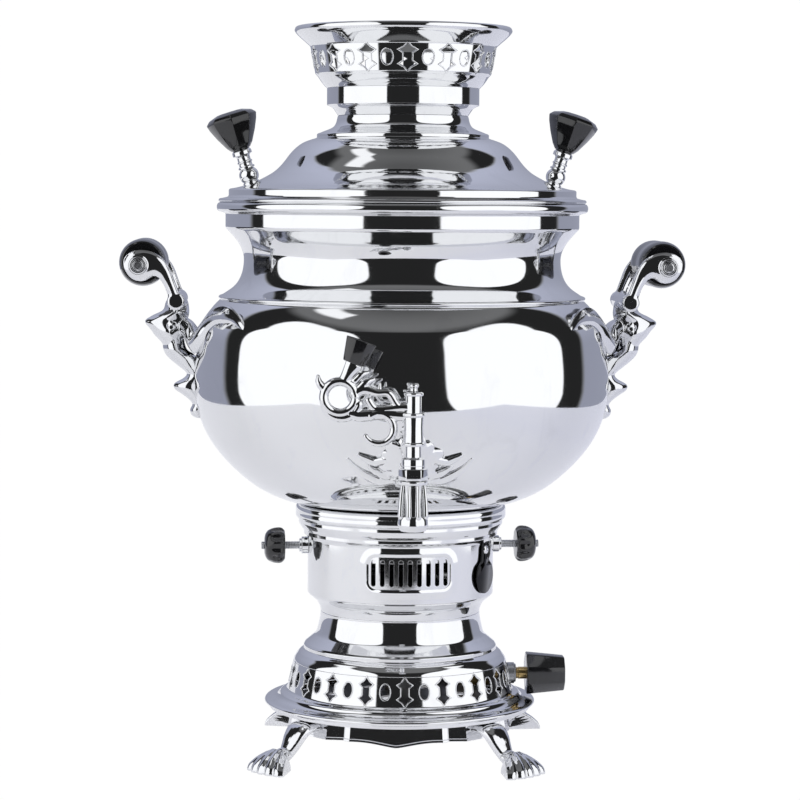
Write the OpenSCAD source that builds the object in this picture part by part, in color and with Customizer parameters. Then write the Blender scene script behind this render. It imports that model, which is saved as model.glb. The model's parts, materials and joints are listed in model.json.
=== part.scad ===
// Chrome gas samovar: stand, pierced base, burner housing, bellied water tank with
// two roll handles and a front tap, domed lid with two knobs, and a teapot crown.
// Millimetres, +Z up. The origin is on the floor on the vertical axis; the tap faces -Y.

/* [Stand] */
// Height of the stand, floor to the flange it carries
stand_h = 31; // [27:0.5:36]
// Distance from the vertical axis to each ankle
ankle_r = 99; // [95:0.5:104]
// Width of a paw across its toes
paw_w = 33; // [27:0.5:38]
// Length of a paw, ankle to toe edge
paw_l = 22; // [17:0.5:26]
// Height of a paw's crest
paw_h = 13.5; // [11:0.5:15]
// Toes on each paw
paw_toes = 5; // [3:1:7]
// Height of the apron wall between the legs
apron_h = 10; // [7:0.5:12]
// Drop of the cusp in the middle of each apron side
cusp_h = 4; // [2:0.5:6]
// Distance from the vertical axis to an apron's middle panel
apron_r = 67; // [64:0.5:70]
// Width of an apron's middle panel
panel_w = 55; // [45:0.5:62]
// Width of the strap of a leg where it leaves the stand
leg_w = 19; // [15:0.5:21]
// Turn of the stand about the vertical axis, degrees
stand_turn = -4.3; // [-8:0.1:8]

/* [Pierced base] */
// Height of the pierced base, flange to top seam
gallery_h = 27; // [24:0.5:32]
// Radius of the pierced base at its top seam
gallery_r = 68.1; // [65:0.1:71]
// Overhang of the rolled flange past the top of the pierced base
flange_over = 18.4; // [16:0.1:22]
// Pairs of cut-outs, one cross and one oval, round the base
gallery_pairs = 18; // [14:1:20]
// Height of a cross in the base
gallery_cross_h = 16.4; // [13:0.2:17]

/* [Burner housing] */
// Height of the waisted pedestal under the housing
pedestal_h = 32; // [28:0.5:38]
// Radius of the waist between pedestal and housing
waist_r = 50.8; // [48:0.1:54]
// Height of the burner housing, waist to rim
housing_h = 49.6; // [46:0.2:56]
// Outer radius of the housing's straight wall
housing_r = 59.2; // [57:0.1:61]
// Number of air slots in the front
slot_count = 9; // [5:1:11]
// Height of an air slot
slot_h = 16.4; // [12:0.2:18]
// Width of an air slot
slot_w = 2.8; // [2:0.1:3.6]
// Angle between air slots, degrees
slot_pitch = 5.6; // [5:0.1:6.2]
// Turn of the housing about the vertical axis, degrees
housing_turn = 3.3; // [-8:0.1:8]
// Angle from the slots to the lighting port, degrees
port_angle = 56; // [48:0.5:58]
// Radius of the lighting port
port_r = 8; // [6:0.1:9]
// Radius of the disc that covers the port
cover_r = 11.2; // [10:0.1:12]
// Distance from the cover's rivet to the middle of its disc
cover_drop = 16.5; // [15:0.1:18]

/* [Clamp screws] */
// Radius of a clamp screw's rod
clamp_rod_r = 2.45; // [1.9:0.05:3]
// Radius of the threaded boss on the housing
clamp_boss_r = 5.4; // [4.4:0.1:6.5]
// Length of the boss
clamp_boss_l = 6; // [4.5:0.1:7.5]
// Bare rod between boss and knob
clamp_gap = 9; // [7:0.1:12]
// Radius of a clamp knob
clamp_knob_r = 10.8; // [9:0.1:12.5]
// Length of a clamp knob
clamp_knob_l = 13; // [10:0.1:15]

/* [Gas train] */
// Height of the gas valve above the stand's top
valve_rise = 17.8; // [17.2:0.1:19]
// Distance from the vertical axis to the hose tail, across
inlet_x = 48; // [44:0.5:52]
// Radius of the hose tail
hose_r = 4.5; // [4:0.1:5.5]
// Straight length of the hose tail outside the base
hose_l = 26; // [20:0.5:32]
// Radius of the valve's spindle
spindle_r = 3.85; // [3:0.05:4.5]
// Bare spindle between bushing and knob
spindle_gap = 6.6; // [5:0.1:10]
// Width of the valve knob across its inner end
valve_knob_d = 26.2; // [21:0.2:26.8]
// Length of the valve knob
valve_knob_l = 24.6; // [20:0.2:28]
// Radius of the burner head
burner_r = 25; // [20:0.5:29]

/* [Water tank] */
// Wall of the tank, spun sheet
tank_wall = 1; // [0.8:0.1:1.6]
// Height of the foot ring the tank stands on
foot_h = 20; // [17:0.2:24]
// Overhang of the foot ring's bead past the housing's wall
foot_over = 7.7; // [6.2:0.1:9.6]
// Greatest radius of the belly
belly_r = 131.5; // [127:0.5:136]
// Rise from the foot ring to the widest part
belly_rise = 76; // [70:0.5:82]
// Rise from the widest part to the shoulder bead
shoulder_rise = 54; // [49:0.5:60]
// Radius of the tank's neck
neck_r = 100.3; // [97:0.1:104]
// Rise from the shoulder bead to the collar
neck_rise = 45; // [41:0.5:50]
// Radius of the collar under the rim
collar_r = 111.9; // [109:0.1:115]
// Height of the collar
collar_h = 15; // [12:0.2:18]
// Outer radius of the flue through the tank
flue_r = 36; // [31:0.2:37]
// Wall of the flue
flue_wall = 1.2; // [0.9:0.1:1.8]

/* [Handles] */
// Distance from the widest part of the belly to a grip's axis
grip_reach = 31.6; // [29:0.2:36]
// Height of a grip's axis above the shoulder bead
grip_rise = 22.2; // [19:0.2:26]
// Radius of the grip
grip_r = 13.8; // [12.5:0.1:15]
// Length of the grip between its cheeks
grip_l = 54; // [48:0.5:60]
// Radius of the front of a cheek plate
cheek_r = 11.7; // [10.5:0.1:13]
// Thickness of a cheek plate
cheek_t = 4.5; // [3.5:0.1:5.5]
// Radius of the rod through a grip
grip_rod_r = 2.5; // [2:0.1:3]

/* [Tap] */
// Distance from the widest part of the belly to the tap's own axis
tap_out = 20.5; // [18:0.5:25.5]
// Height of the tap's shank above the foot ring
tap_rise = 38; // [36:0.2:41]
// Radius of the shank
shank_r = 6; // [5:0.1:7]
// Radius of the rosette behind the tap
rosette_r = 21.5; // [18:0.5:24]
// Radius of the key's lower barrel
barrel_r = 6; // [5.2:0.1:6.8]
// Height of the key's lower barrel
barrel_h = 17; // [14:0.2:20]
// Radius of the key's upper barrel
stem_r = 4.6; // [4:0.1:5.2]
// Height of the key's upper barrel
stem_h = 10; // [8:0.2:13]
// Radius of the spout cage
cage_r = 9.1; // [8:0.1:10]
// Height of the spout cage
cage_h = 20.6; // [17:0.2:23]
// Radius of the water way through the spout
outlet_r = 5; // [4:0.1:5.6]
// Radius of the tap's plug
plug_r = 3.2; // [2.6:0.1:3.6]
// Thickness of the key's lever
lever_t = 6; // [4.5:0.1:7]
// Reach of the lever from the tap's axis to the middle of its big loop
lever_reach = 43; // [40:0.5:46]
// Radius of the lever's big loop
loop_r = 12.2; // [10.5:0.1:13]

/* [Lid] */
// Wall of the lid
lid_wall = 0.9; // [0.7:0.1:1.4]
// Height of the lid, tank rim to neck seam
lid_h = 54.8; // [50:0.2:62]
// Radius of the lid's flange
lid_flange_r = 116.3; // [114.5:0.1:118]
// Radius of the bead at the top of the dome
dome_r = 54.3; // [51:0.1:57]
// Radius of the lid's neck at its top
lid_neck_r = 41.2; // [40:0.1:43]
// Distance from the vertical axis to the foot of a lid knob
lid_knob_x = 95.6; // [91:0.2:98]
// Outward lean of a lid knob, degrees
lid_knob_lean = 17.6; // [10:0.5:20]
// Length of a lid knob's turned stem
lid_stem_l = 22; // [18:0.2:26]
// Radius of a lid knob's top
lid_knob_r = 16.4; // [14:0.1:18]
// Height of a lid knob
lid_knob_h = 24.4; // [20:0.2:27]

/* [Crown] */
// Height of the crown's neck
crown_neck_h = 17.3; // [15:0.1:20]
// Radius of the crown's straight band
crown_band_r = 48.1; // [46:0.1:50.5]
// Height of the pierced bowl
bowl_h = 38.5; // [36:0.1:42]
// Radius of the bowl at the top of its pierced band
bowl_r = 58.7; // [56:0.1:61]
// Radius of the lip
lip_r = 68.5; // [66:0.1:71]
// Wall of the crown
crown_wall = 1; // [0.8:0.1:1.4]
// Pairs of cut-outs, one cross and one oval, round the bowl
bowl_pairs = 14; // [10:1:15]
// Height of a cross in the bowl
bowl_cross_h = 16.4; // [12:0.2:16.8]

/* [Fits] */
// Radial gap of a turning or sliding fit
run_gap = 0.05; // [0.03:0.01:0.08]
// Gap between pieces that lift off each other
lift_gap = 0.6; // [0.4:0.1:1]
// Gap of a screw in its clearance hole
screw_gap = 0.15; // [0.1:0.05:0.3]

/* [Hidden] */

// Levels, floor upwards
z_flange = stand_h;
z_gallery = z_flange + gallery_h;
z_waist = z_gallery + pedestal_h;
z_rim_low = z_waist + housing_h;
z_foot = z_rim_low + foot_h;
z_belly = z_foot + belly_rise;
z_bead = z_belly + shoulder_rise;
z_collar = z_bead + neck_rise;
z_rim = z_collar + collar_h;
z_lid = z_rim + lid_h;
z_band = z_lid + crown_neck_h;
z_top = z_band + bowl_h;
z_clamp = z_rim_low - 7.6;
z_valve = z_flange + valve_rise;
z_slots = z_waist + 31.2;
z_rivet = z_rim_low - 7;
z_shank = z_foot + tap_rise;
z_grip = z_bead + grip_rise;

// Sizes that follow from the ones above
flange_r = gallery_r + flange_over;
foot_r = housing_r + foot_over;
grip_x = belly_r + grip_reach;
tap_y = belly_r + tap_out;
sheet = 0.9;
housing_in = housing_r - sheet;
skirt_r = housing_in - lift_gap;
skirt_t = 1.3;
skirt_h = 12.6;
floor_r = skirt_r - skirt_t;
body_collar_r = 6.9;
key_z = z_shank + 11.8;
barrel_z = key_z + 2.3;
stem_z = barrel_z + barrel_h;
spout_z = z_shank - 9;
ring_h = 9;
lid_plate_r = collar_r - tank_wall - lift_gap - 0.4;
cover_t = 1;
cover_gap = 0.5;
smooth = 96;

// ---------- outlines ----------

function mix(a, b, t) = a + (b - a) * t;
function wrap(a) = a - 360 * round(a / 360);
function aim(v) = atan2(v[1], v[0]);
function ray(a) = [cos(a), sin(a)];
function flip(list) = [for (i = [len(list) - 1 : -1 : 0]) list[i]];
function side(v) = [-v[1], v[0]] / norm(v);

// A station is [r, z] for a corner, [r, z, heading] for a smooth point, or
// [r, z, heading in, heading out]. Headings are degrees, 0 outwards and 90 up.
function leave(p, way) = len(p) == 4 ? p[3] : len(p) == 3 ? p[2] : way;
function arrive(p, way) = len(p) > 2 ? p[2] : way;

// Points of the cubic between two stations, one for about every 9 degrees it turns
function span(p, q) =
    let (a = [p[0], p[1]], d = [q[0], q[1]], way = aim(d - a),
         out = leave(p, way), in = arrive(q, way),
         bend = abs(wrap(out - way)) + abs(wrap(in - way)),
         steps = max(1, ceil(bend / 9)),
         pull = norm(d - a) / (3 * pow(cos(wrap(in - out) / 4), 2)),
         b = a + pull * ray(out), c = d - pull * ray(in))
    [for (i = [1 : steps]) let (t = i / steps, s = 1 - t)
        a * s * s * s + b * 3 * s * s * t + c * 3 * s * t * t + d * t * t * t];

function trace(list) = concat([[list[0][0], list[0][1]]],
    [for (i = [0 : len(list) - 2]) each span(list[i], list[i + 1])]);

// The same line moved to its left by t, corners mitred
function inset(line, t) = let (last = len(line) - 1)
    [for (i = [0 : last])
        let (n = side(line[max(1, i)] - line[max(1, i) - 1]),
             m = side(line[min(last, i + 1)] - line[min(last, i + 1) - 1]))
        line[i] + t * (n + m) / (1 + n * m)];

// A sheet-metal shell: an outer line, bottom to top, and a plainer line that the wall follows
module spun(outer, core, t) {
    rotate_extrude($fn = smooth) polygon(concat(outer, flip(inset(core, t))));
}

module turned(list) {
    rotate_extrude($fn = smooth) polygon(trace(list));
}

// Closed skin over rings of equal, even point counts. The ends are closed by a strip
// between the first and second half of their ring.
module skin(rings) {
    n = len(rings[0]);
    last = len(rings) - 1;
    points = [for (ring = rings) each ring];
    sides = [for (k = [0 : last - 1], i = [0 : n - 1])
        let (j = (i + 1) % n, a = k * n + i, b = k * n + j)
        each [[a, b, b + n], [a, b + n, a + n]]];
    strip = [for (i = [0 : n / 2 - 2]) each [[i, n - 2 - i, i + 1], [i, n - 1 - i, n - 2 - i]]];
    far = [for (f = strip) [f[0], f[2], f[1]] + [1, 1, 1] * last * n];
    polyhedron(points, concat(sides, strip, far), convexity = 6);
}

// A limb: stations [x, y, z, half width, half thickness] whose thickness lies along the
// way out from the vertical axis. Sections are oval, or squarer with edge below 1.
function soft(c, edge) = sign(c) * pow(abs(c), edge);
function unit(v) = v / norm(v);
function spot(s) = [s[0], s[1], s[2]];
module limb(list, sides = 12, edge = 1) {
    last = len(list) - 1;
    skin([for (i = [0 : last])
        let (p = spot(list[i]), way = unit(spot(list[min(last, i + 1)]) - spot(list[max(0, i - 1)])),
             across = unit(cross(way, unit([p[0], p[1], 0]))), out = cross(across, way))
        [for (k = [0 : sides - 1]) let (a = 360 * k / sides)
            p + across * list[i][3] * soft(cos(a), edge) + out * list[i][4] * soft(sin(a), edge)]]);
}

module ring_of(count, turn = 0) {
    for (i = [0 : count - 1]) rotate(turn + 360 * i / count) children();
}

// Places something facing -Y at radius r and height z, with its own -Z pointing inwards
module facing(angle, r, z) {
    rotate(angle) translate([0, -r, z]) rotate([90, 0, 0]) children();
}

// Cross cut-out: two four-pointed stars joined by a neck
function quarter_star(h, w) = [[0, h / 2], [w * 0.2, h * 0.36], [w / 2, h * 0.26], [w * 0.25, h * 0.16]];
function star(h, w) = let (q = quarter_star(h, w))
    concat(q, [for (p = flip(q)) [p[0], -p[1]]], [for (i = [1 : 3]) [-q[i][0], -q[i][1]]],
        [for (i = [3 : -1 : 1]) [-q[i][0], q[i][1]]]);

module piercings(pairs, r, z, h, w, oval_h, oval_w, depth) {
    ring_of(pairs) facing(0, r - depth / 2, z) linear_extrude(depth) polygon(star(h, w));
    ring_of(pairs, 180 / pairs) facing(0, r - depth / 2, z) linear_extrude(depth)
        polygon([for (a = [0 : 24 : 336]) [oval_w * cos(a), oval_h * sin(a)] / 2]);
}

// ---------- stand ----------

// One side of the apron in plan, at radius r along -Y: panel, its two edge strips and
// the recesses running out to the corners
function apron_side(r) = let (h = panel_w / 2, step = 3.2)
    [[-h - 15, -r + step + 1], [-h - 3, -r + step], [-h - 3, -r], [-h, -r - 1.2],
     [h, -r - 1.2], [h + 3, -r], [h + 3, -r + step], [h + 15, -r + step + 1]];
function turn2(p, a) = [p[0] * cos(a) - p[1] * sin(a), p[0] * sin(a) + p[1] * cos(a)];
function apron_plan(r) = [for (q = [0 : 3]) each [for (p = apron_side(r)) turn2(p, 90 * q)]];

module stand() {
    top_t = 2.4;
    in = apron_r - 7.2;
    half = panel_w / 2 + 15;
    color("gainsboro") rotate(stand_turn) difference() {
        union() {
            translate([0, 0, z_flange - top_t]) cylinder(r = flange_r - 3, h = top_t, $fn = smooth);
            translate([0, 0, z_flange - apron_h]) linear_extrude(apron_h - top_t + 0.5)
                polygon(apron_plan(apron_r));
            // each panel drops to a cusp in the middle
            ring_of(4) translate([0, -in, z_flange - apron_h]) rotate([90, 0, 0])
                linear_extrude(apron_r + 1.2 - in) polygon(concat([[panel_w / 2, 2], [-panel_w / 2, 2]],
                    [for (i = [0 : 12]) let (u = i / 6 - 1)
                        [u * panel_w / 2, cusp_h * (0.5 - 0.5 * cos(180 * pow(abs(u), 0.7))) - cusp_h]]));
        }
        translate([0, 0, z_flange - apron_h - 1]) linear_extrude(apron_h + 1 - top_t)
            polygon([for (q = [0 : 3]) each [turn2([-half + 3, -in], 90 * q), turn2([half - 3, -in], 90 * q)]]);
        translate([0, 0, z_flange - top_t - 1])
            cylinder(r = apron_r - 18, h = top_t + 2, $fn = smooth);
        // room for the tops of the legs and their screws
        for (a = [45 : 90 : 315]) rotate(a) {
            translate([leg_seat - 0.2, -leg_w / 2 - 0.2, z_flange - apron_h - 2])
                cube([30, leg_w + 0.4, apron_h + 2 - top_t]);
            translate([leg_screw, 0, z_flange - 6]) cylinder(r = leg_screw_r + screw_gap, h = 12, $fn = 24);
        }
    }
}

leg_seat = flange_r - 12.5;
leg_screw = flange_r - 7;
leg_screw_r = 2;
leg_block_l = 14;

// A leg in the plane of +X: block under the stand, curved strap, ankle
module leg(angle) {
    z_top = z_flange - 2.4;
    color("gainsboro") rotate(angle + stand_turn) difference() {
        union() {
            translate([leg_seat, -leg_w / 2, z_top - 7]) cube([leg_block_l, leg_w, 7]);
            strap(z_top);
            paw();
        }
        translate([leg_screw, 0, z_top - 5]) cylinder(r = leg_screw_r, h = 6, $fn = 24);
    }
}

// The strap's outer face swings out and down from the block to the ankle
module strap(z_top) {
    x0 = leg_seat + 6;
    run = ankle_r - x0;
    // [along, height, half width, half thickness]
    rows = [[0, z_top - 3, leg_w / 2, 3], [0.29, z_top - 4.6, leg_w / 2, 3.5],
        [0.5, z_top - 9, leg_w * 0.45, 3.8], [0.68, mix(z_top, 8, 0.68), leg_w * 0.37, 3.6],
        [0.86, 10, leg_w * 0.28, 3.4], [1.04, 7.6, leg_w * 0.25, 3.6], [1.26, 6, leg_w * 0.25, 3.6]];
    limb([for (r = rows) [x0 + r[0] * run, 0, r[1], r[2], r[3]]], 12, 0.5);
}

// A fan of toes. Each ring runs along the toe edge and back along the ankle; the rings
// climb from the floor to the crest while the toe edge leans back and gets narrower.
module paw() {
    half = paw_toes * 4;
    skin([for (level = [[0, 0], [0.3, 0.06], [0.62, 0.3], [0.86, 0.62], [1, 1]])
        let (u = level[0], lean = level[1], w = paw_w / 2 * (1 - 0.42 * lean),
             r = ankle_r + paw_l * (0.75 - 0.28 * lean), flute = 1.1 * (1 - 0.45 * lean))
        concat(
            [for (i = [-half : half]) let (t = i / half)
                [r - 0.15 * paw_l * t * t + flute * cos(180 * paw_toes * t), -w * t,
                 u * paw_h * (1 - 0.1 * t * t)]],
            [for (i = [half : -1 : -half]) let (t = i / half)
                [ankle_r + 3 * lean - 2 * (1 - t * t), -mix(5.5, 4, lean) * t, u * paw_h * 0.6]])]);
}

module leg_front_left() { leg(225); }
module leg_front_right() { leg(315); }
module leg_rear_left() { leg(135); }
module leg_rear_right() { leg(45); }

module leg_screws() {
    color("silver") rotate(stand_turn) for (a = [45 : 90 : 315]) rotate(a)
        translate([leg_screw, 0, z_flange - 7.4]) cylinder(r = leg_screw_r, h = 7.4, $fn = 24);
}

// ---------- pierced base, pedestal and housing ----------

plate_t = 1.2;
module base_plate() {
    color("silver") translate([0, 0, z_flange]) difference() {
        cylinder(r = gallery_r - 1, h = plate_t, $fn = smooth);
        translate([0, 0, -1]) cylinder(r = 14, h = 4, $fn = smooth);
        ring_of(8, 22.5) translate([44, 0, -1]) cylinder(r = 5, h = 4, $fn = 32);
    }
}

band_low = [gallery_r + 3.7, z_flange + 9.4];
module gallery_base() {
    f = flange_r;
    foot = [[f - 1.4, z_flange], [f, z_flange + 1.4, 90], [f - 1.8, z_flange + 2.9, 172],
        [band_low[0] + 7.4, z_flange + 3.8, 160], [band_low[0] + 5, z_flange + 6.2, 115],
        [band_low[0] + 2.2, z_flange + 7.7, 165], [band_low[0], band_low[1], 110]];
    core = [[f - 1.4, z_flange], [f - 2.2, z_flange + 2.6, 172], [band_low[0] + 6, z_flange + 4.6, 150],
        [band_low[0] + 1.4, z_flange + 8, 140], band_low];
    top = [gallery_r, z_gallery];
    color("silver") difference() {
        spun(concat(trace(foot), [top]), concat(trace(core), [top]), sheet);
        piercings(gallery_pairs, gallery_r + 1.6, mix(band_low[1], z_gallery, 0.5) - 0.2,
            gallery_cross_h, 8, 9, 5.6, 8);
        // the gas valve and the hose tail pass through the wall
        translate([gallery_r - 8, 0, z_valve]) rotate([0, 90, 0]) cylinder(r = 5, h = 16, $fn = 48);
        translate([inlet_x, 20, z_valve]) rotate([-90, 0, 0])
            cylinder(r = hose_r + 1.6, h = 60, $fn = 48);
    }
}

module pedestal() {
    r = gallery_r;
    step = mix(waist_r, gallery_r, 0.624);
    line = [[r, z_gallery, 98], [mix(r, step, 0.45), z_gallery + 5, 125],
        [step, z_gallery + 8, 150, 90], [step, z_gallery + 10.3], [step - 1, z_gallery + 11.6],
        [waist_r + 3.6, z_gallery + 16.7, 138, 128], [waist_r + 1.6, z_gallery + 22, 103],
        [waist_r, z_waist, 90]];
    core = concat([[r - 0.04, z_gallery + 0.25, 98]], [for (i = [1 : len(line) - 1]) line[i]]);
    color("silver") spun(trace(line), trace(core), sheet);
}

shoulder_z = z_waist + 12.2;
module burner_housing() {
    wall = [[waist_r, z_waist, 88], [waist_r + 1.8, z_waist + 5.4, 62],
        [housing_r - 1.8, shoulder_z - 2, 40], [housing_r, shoulder_z, 60, 90],
        [housing_r, z_rim_low - 3.2, 90]];
    line = concat(wall, [[housing_r + 2.2, z_rim_low, 50]]);
    core = concat(wall, [[housing_r + 1.66, z_rim_low - 0.64, 50]]);
    color("silver") rotate(housing_turn) difference() {
        spun(trace(line), trace(core), sheet);
        for (i = [0 : slot_count - 1])
            facing((i - (slot_count - 1) / 2) * slot_pitch, housing_r - 5, z_slots) slot();
        facing(port_angle, housing_r - 6, z_rivet - cover_drop) cylinder(r = port_r, h = 12, $fn = 48);
        facing(port_angle, housing_r - 6, z_rivet) cylinder(r = 1.5 + screw_gap, h = 12, $fn = 24);
        for (a = [-90, 90]) facing(a, housing_r - 6, z_clamp)
            cylinder(r = clamp_rod_r + 0.6, h = 12, $fn = 32);
    }
}

module slot() {
    linear_extrude(10) {
        for (s = [-1, 1]) translate([0, s * (slot_h - slot_w) / 2]) circle(d = slot_w, $fn = 24);
        square([slot_w, slot_h - slot_w], center = true);
    }
}

// ---------- gas train and burner ----------

valve_body_r = 8;
module gas_valve_body() {
    x1 = gallery_r - 2;
    x0 = inlet_x - 10;
    color("darkgoldenrod") difference() {
        union() {
            translate([x0, 0, z_valve]) rotate([0, 90, 0])
                cylinder(r = valve_body_r, h = x1 - x0 - 4, $fn = 48);
            translate([x1 - 4.5, 0, z_valve]) rotate([0, 90, 0])
                cylinder(r = 4.9, h = bush_x + 0.6 - x1 + 4.5, $fn = 48);
            translate([inlet_x, 0, z_valve]) rotate([-90, 0, 0]) cylinder(r = 6.5, h = 16, $fn = 48);
            translate([11, 0, z_valve]) rotate([0, 90, 0]) cylinder(r = 4, h = x0 - 9, $fn = 32);
        }
        translate([inlet_x + 8, 0, z_valve]) rotate([0, 90, 0])
            cylinder(r = spindle_r - 0.6 + run_gap, h = 40, $fn = 48);
    }
}

bushing_l = 4.5;
bush_x = gallery_r + 1.9;
// The bushing seats on the sloping wall of the base, round the neck of the valve body
module valve_bushing() {
    color("darkgray") difference() {
        translate([bush_x - 1.4, 0, z_valve]) rotate([0, 90, 0]) {
            cylinder(r = 6.75, h = bushing_l + 0.4, $fn = 48);
            cylinder(r = 5.9, h = bushing_l + 1.4, $fn = 48);
        }
        translate([0, 0, band_low[1]])
            cylinder(r1 = band_low[0], r2 = gallery_r, h = z_gallery - band_low[1], $fn = smooth);
        translate([bush_x - 4, 0, z_valve]) rotate([0, 90, 0]) {
            cylinder(r = 4.9, h = 4.6, $fn = 48);
            cylinder(r = spindle_r + run_gap, h = 12, $fn = 48);
        }
    }
}

knob_x = bush_x + bushing_l + spindle_gap;
module valve_spindle() {
    color("peru") {
        translate([bush_x + 0.8, 0, z_valve]) rotate([0, 90, 0])
            cylinder(r = spindle_r, h = knob_x + 11.2 - bush_x, $fn = 48);
        translate([inlet_x + 9, 0, z_valve]) rotate([0, 90, 0])
            cylinder(r = spindle_r - 0.6, h = bush_x - 8 - inlet_x, $fn = 48);
    }
}

module valve_knob() {
    color([0.13, 0.13, 0.15]) translate([knob_x, 0, z_valve]) rotate([0, 90, 0]) rotate(22.5)
        difference() {
            union() {
                hull() for (s = [0, 1]) translate([0, 0, 1 + s * (valve_knob_l - 2)])
                    linear_extrude(0.01) circle(d = mix(valve_knob_d, valve_knob_d - 4.6, s) / cos(22.5),
                        $fn = 8);
                cylinder(d = valve_knob_d - 1.2, h = 1.2, $fn = 8);
                translate([0, 0, valve_knob_l - 1.2]) cylinder(d = valve_knob_d - 5, h = 1.2, $fn = 8);
            }
            translate([0, 0, -1]) cylinder(r = spindle_r, h = 13, $fn = 48);
        }
}

// Stout inside the base, plain where the hose is pushed on
module hose_tail() {
    y0 = 16;
    y1 = sqrt(pow(gallery_r + 4, 2) - pow(inlet_x, 2));
    color("goldenrod") translate([inlet_x, 0, z_valve]) rotate([-90, 0, 0]) difference() {
        union() {
            translate([0, 0, y0]) cylinder(r = hose_r + 0.6, h = y1 - y0, $fn = 48);
            translate([0, 0, y0]) cylinder(r = 6.5, h = 9, $fn = 6);
            translate([0, 0, y1 - 1]) cylinder(r = hose_r, h = hose_l + 1, $fn = 48);
            translate([0, 0, y1 + hose_l]) cylinder(r1 = hose_r, r2 = hose_r - 0.6, h = 4, $fn = 48);
        }
        translate([0, 0, y0 - 1]) cylinder(r = hose_r - 1.6, h = y1 + hose_l, $fn = 32);
    }
}

module jet_holder() {
    color("darkgoldenrod") translate([0, 0, z_valve]) {
        translate([0, 0, -6.5]) cylinder(r = 6.4, h = 13, $fn = 48);
        rotate([0, 90, 0]) cylinder(r = 5, h = 11, $fn = 48);
        translate([0, 0, 6.5]) cylinder(r1 = 4, r2 = 1.6, h = 5, $fn = 32);
    }
}

z_burner = z_waist + 8;
module mixing_tube() {
    z0 = z_valve + 9;
    flare = bridge_z - 2;
    color("darkgray") turned([[8.4, z0], [9.2, z0], [9.2, bridge_z + 2], [12, bridge_z + 2],
        [12, bridge_z + 4], [9.2, bridge_z + 5], [9.2, z_burner - 6, 90], [11.6, z_burner, 60],
        [10.4, z_burner, 240], [8, z_burner - 6, 270], [8, flare, 270]]);
}

// Bridge on two feet that carries the mixing tube
bridge_z = z_gallery + 1.5;
module burner_bracket() {
    z0 = z_flange + plate_t;
    color("gray") difference() {
        union() {
            translate([-8, -42, bridge_z]) cube([16, 84, 2]);
            translate([0, 0, bridge_z]) cylinder(r = 14, h = 2, $fn = 64);
            for (s = [-1, 1]) {
                translate([-8, s * 41 - 1, z0]) cube([16, 2, bridge_z + 1 - z0]);
                translate([-8, s * 36 - 6, z0]) cube([16, 12, 1.6]);
            }
        }
        translate([0, 0, bridge_z - 1]) cylinder(r = 9.3, h = 4, $fn = 64);
    }
}

module burner_head() {
    h = 10;
    color("dimgray") difference() {
        turned([[12.2, z_burner - 5], [14, z_burner - 5], [14, z_burner, 80], [burner_r, z_burner + 6, 60, 90],
            [burner_r, z_burner + h], [burner_r - 3, z_burner + h], [burner_r - 3, z_burner + 7],
            [12.2, z_burner + 1]]);
        ring_of(20) facing(0, burner_r - 4.5, z_burner + 8.3) cylinder(r = 1, h = 6, $fn = 16);
    }
}

module burner_cap() {
    z0 = z_burner + 10;
    r = burner_r - 1.5;
    color("dimgray") turned([[0, z0], [r, z0], [r, z0 + 1.2, 90], [r - 4, z0 + 3.2, 160], [0, z0 + 4.4, 180]]);
}

// ---------- lighting port and clamp screws ----------

// Its inner head is thin enough to lie between the housing's wall and the skirt
rivet_foot = skirt_r + lift_gap * 0.24;
module port_rivet() {
    l = housing_r + cover_gap + cover_t + 0.1 - rivet_foot;
    color("silver") rotate(housing_turn) facing(port_angle, rivet_foot, z_rivet) {
        cylinder(r = 1.5, h = l, $fn = 24);
        translate([0, 0, l]) cylinder(r1 = 2.8, r2 = 1.6, h = 1.1, $fn = 32);
        cylinder(r = 2.6, h = lift_gap * 0.62, $fn = 24);
    }
}

// Pear-shaped flap hanging from its rivet
module port_cover() {
    d = cover_drop;
    half = trace([[0.01, 4.4, 0], [4.4, 0, 270], [5.2, -d * 0.36, 282],
        [cover_r * 0.84, -d + cover_r * 0.54, 303], [cover_r, -d, 270], [0.01, -d - cover_r, 180]]);
    color([0.1, 0.1, 0.11]) rotate(housing_turn)
        facing(port_angle, housing_r + cover_gap, z_rivet) linear_extrude(cover_t) difference() {
            polygon(concat(half, [for (p = flip(half)) [-p[0], p[1]]]));
            circle(r = 1.5 + run_gap, $fn = 48);
        }
}

module clamp_boss(angle) {
    color("silver") rotate(housing_turn) difference() {
        facing(angle, housing_r - 1.5, z_clamp) {
            cylinder(r = clamp_boss_r, h = clamp_boss_l, $fn = 48);
            cylinder(r = clamp_boss_r - 1.2, h = clamp_boss_l + 1.5, $fn = 48);
        }
        facing(angle, housing_r - 9, z_clamp) cylinder(r = clamp_rod_r + run_gap, h = 30, $fn = 48);
        cylinder(r = housing_r, h = z_top, $fn = smooth);
    }
}

rod_tip = skirt_r + 0.3;
clamp_knob_at = housing_r + clamp_boss_l + clamp_gap;
module clamp_rod(angle) {
    color("lightsteelblue") rotate(housing_turn) facing(angle, rod_tip, z_clamp)
        cylinder(r = clamp_rod_r, h = clamp_knob_at + 7 - rod_tip, $fn = 48);
}

module clamp_knob(angle) {
    r = clamp_knob_r;
    l = clamp_knob_l;
    color([0.12, 0.12, 0.14]) rotate(housing_turn) facing(angle, clamp_knob_at, z_clamp) difference() {
        union() {
            turned([[0, 0], [r - 1.6, 0], [r - 0.3, 1.4, 60], [r, l * 0.5, 96], [r * 0.82, l * 0.86, 140],
                [0, l, 180]]);
            ring_of(10) translate([r - 1.2, 0, 1]) cylinder(r = 1.5, h = l * 0.62, $fn = 24);
        }
        translate([0, 0, -1]) cylinder(r = clamp_rod_r + run_gap, h = 8.2, $fn = 48);
    }
}

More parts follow.
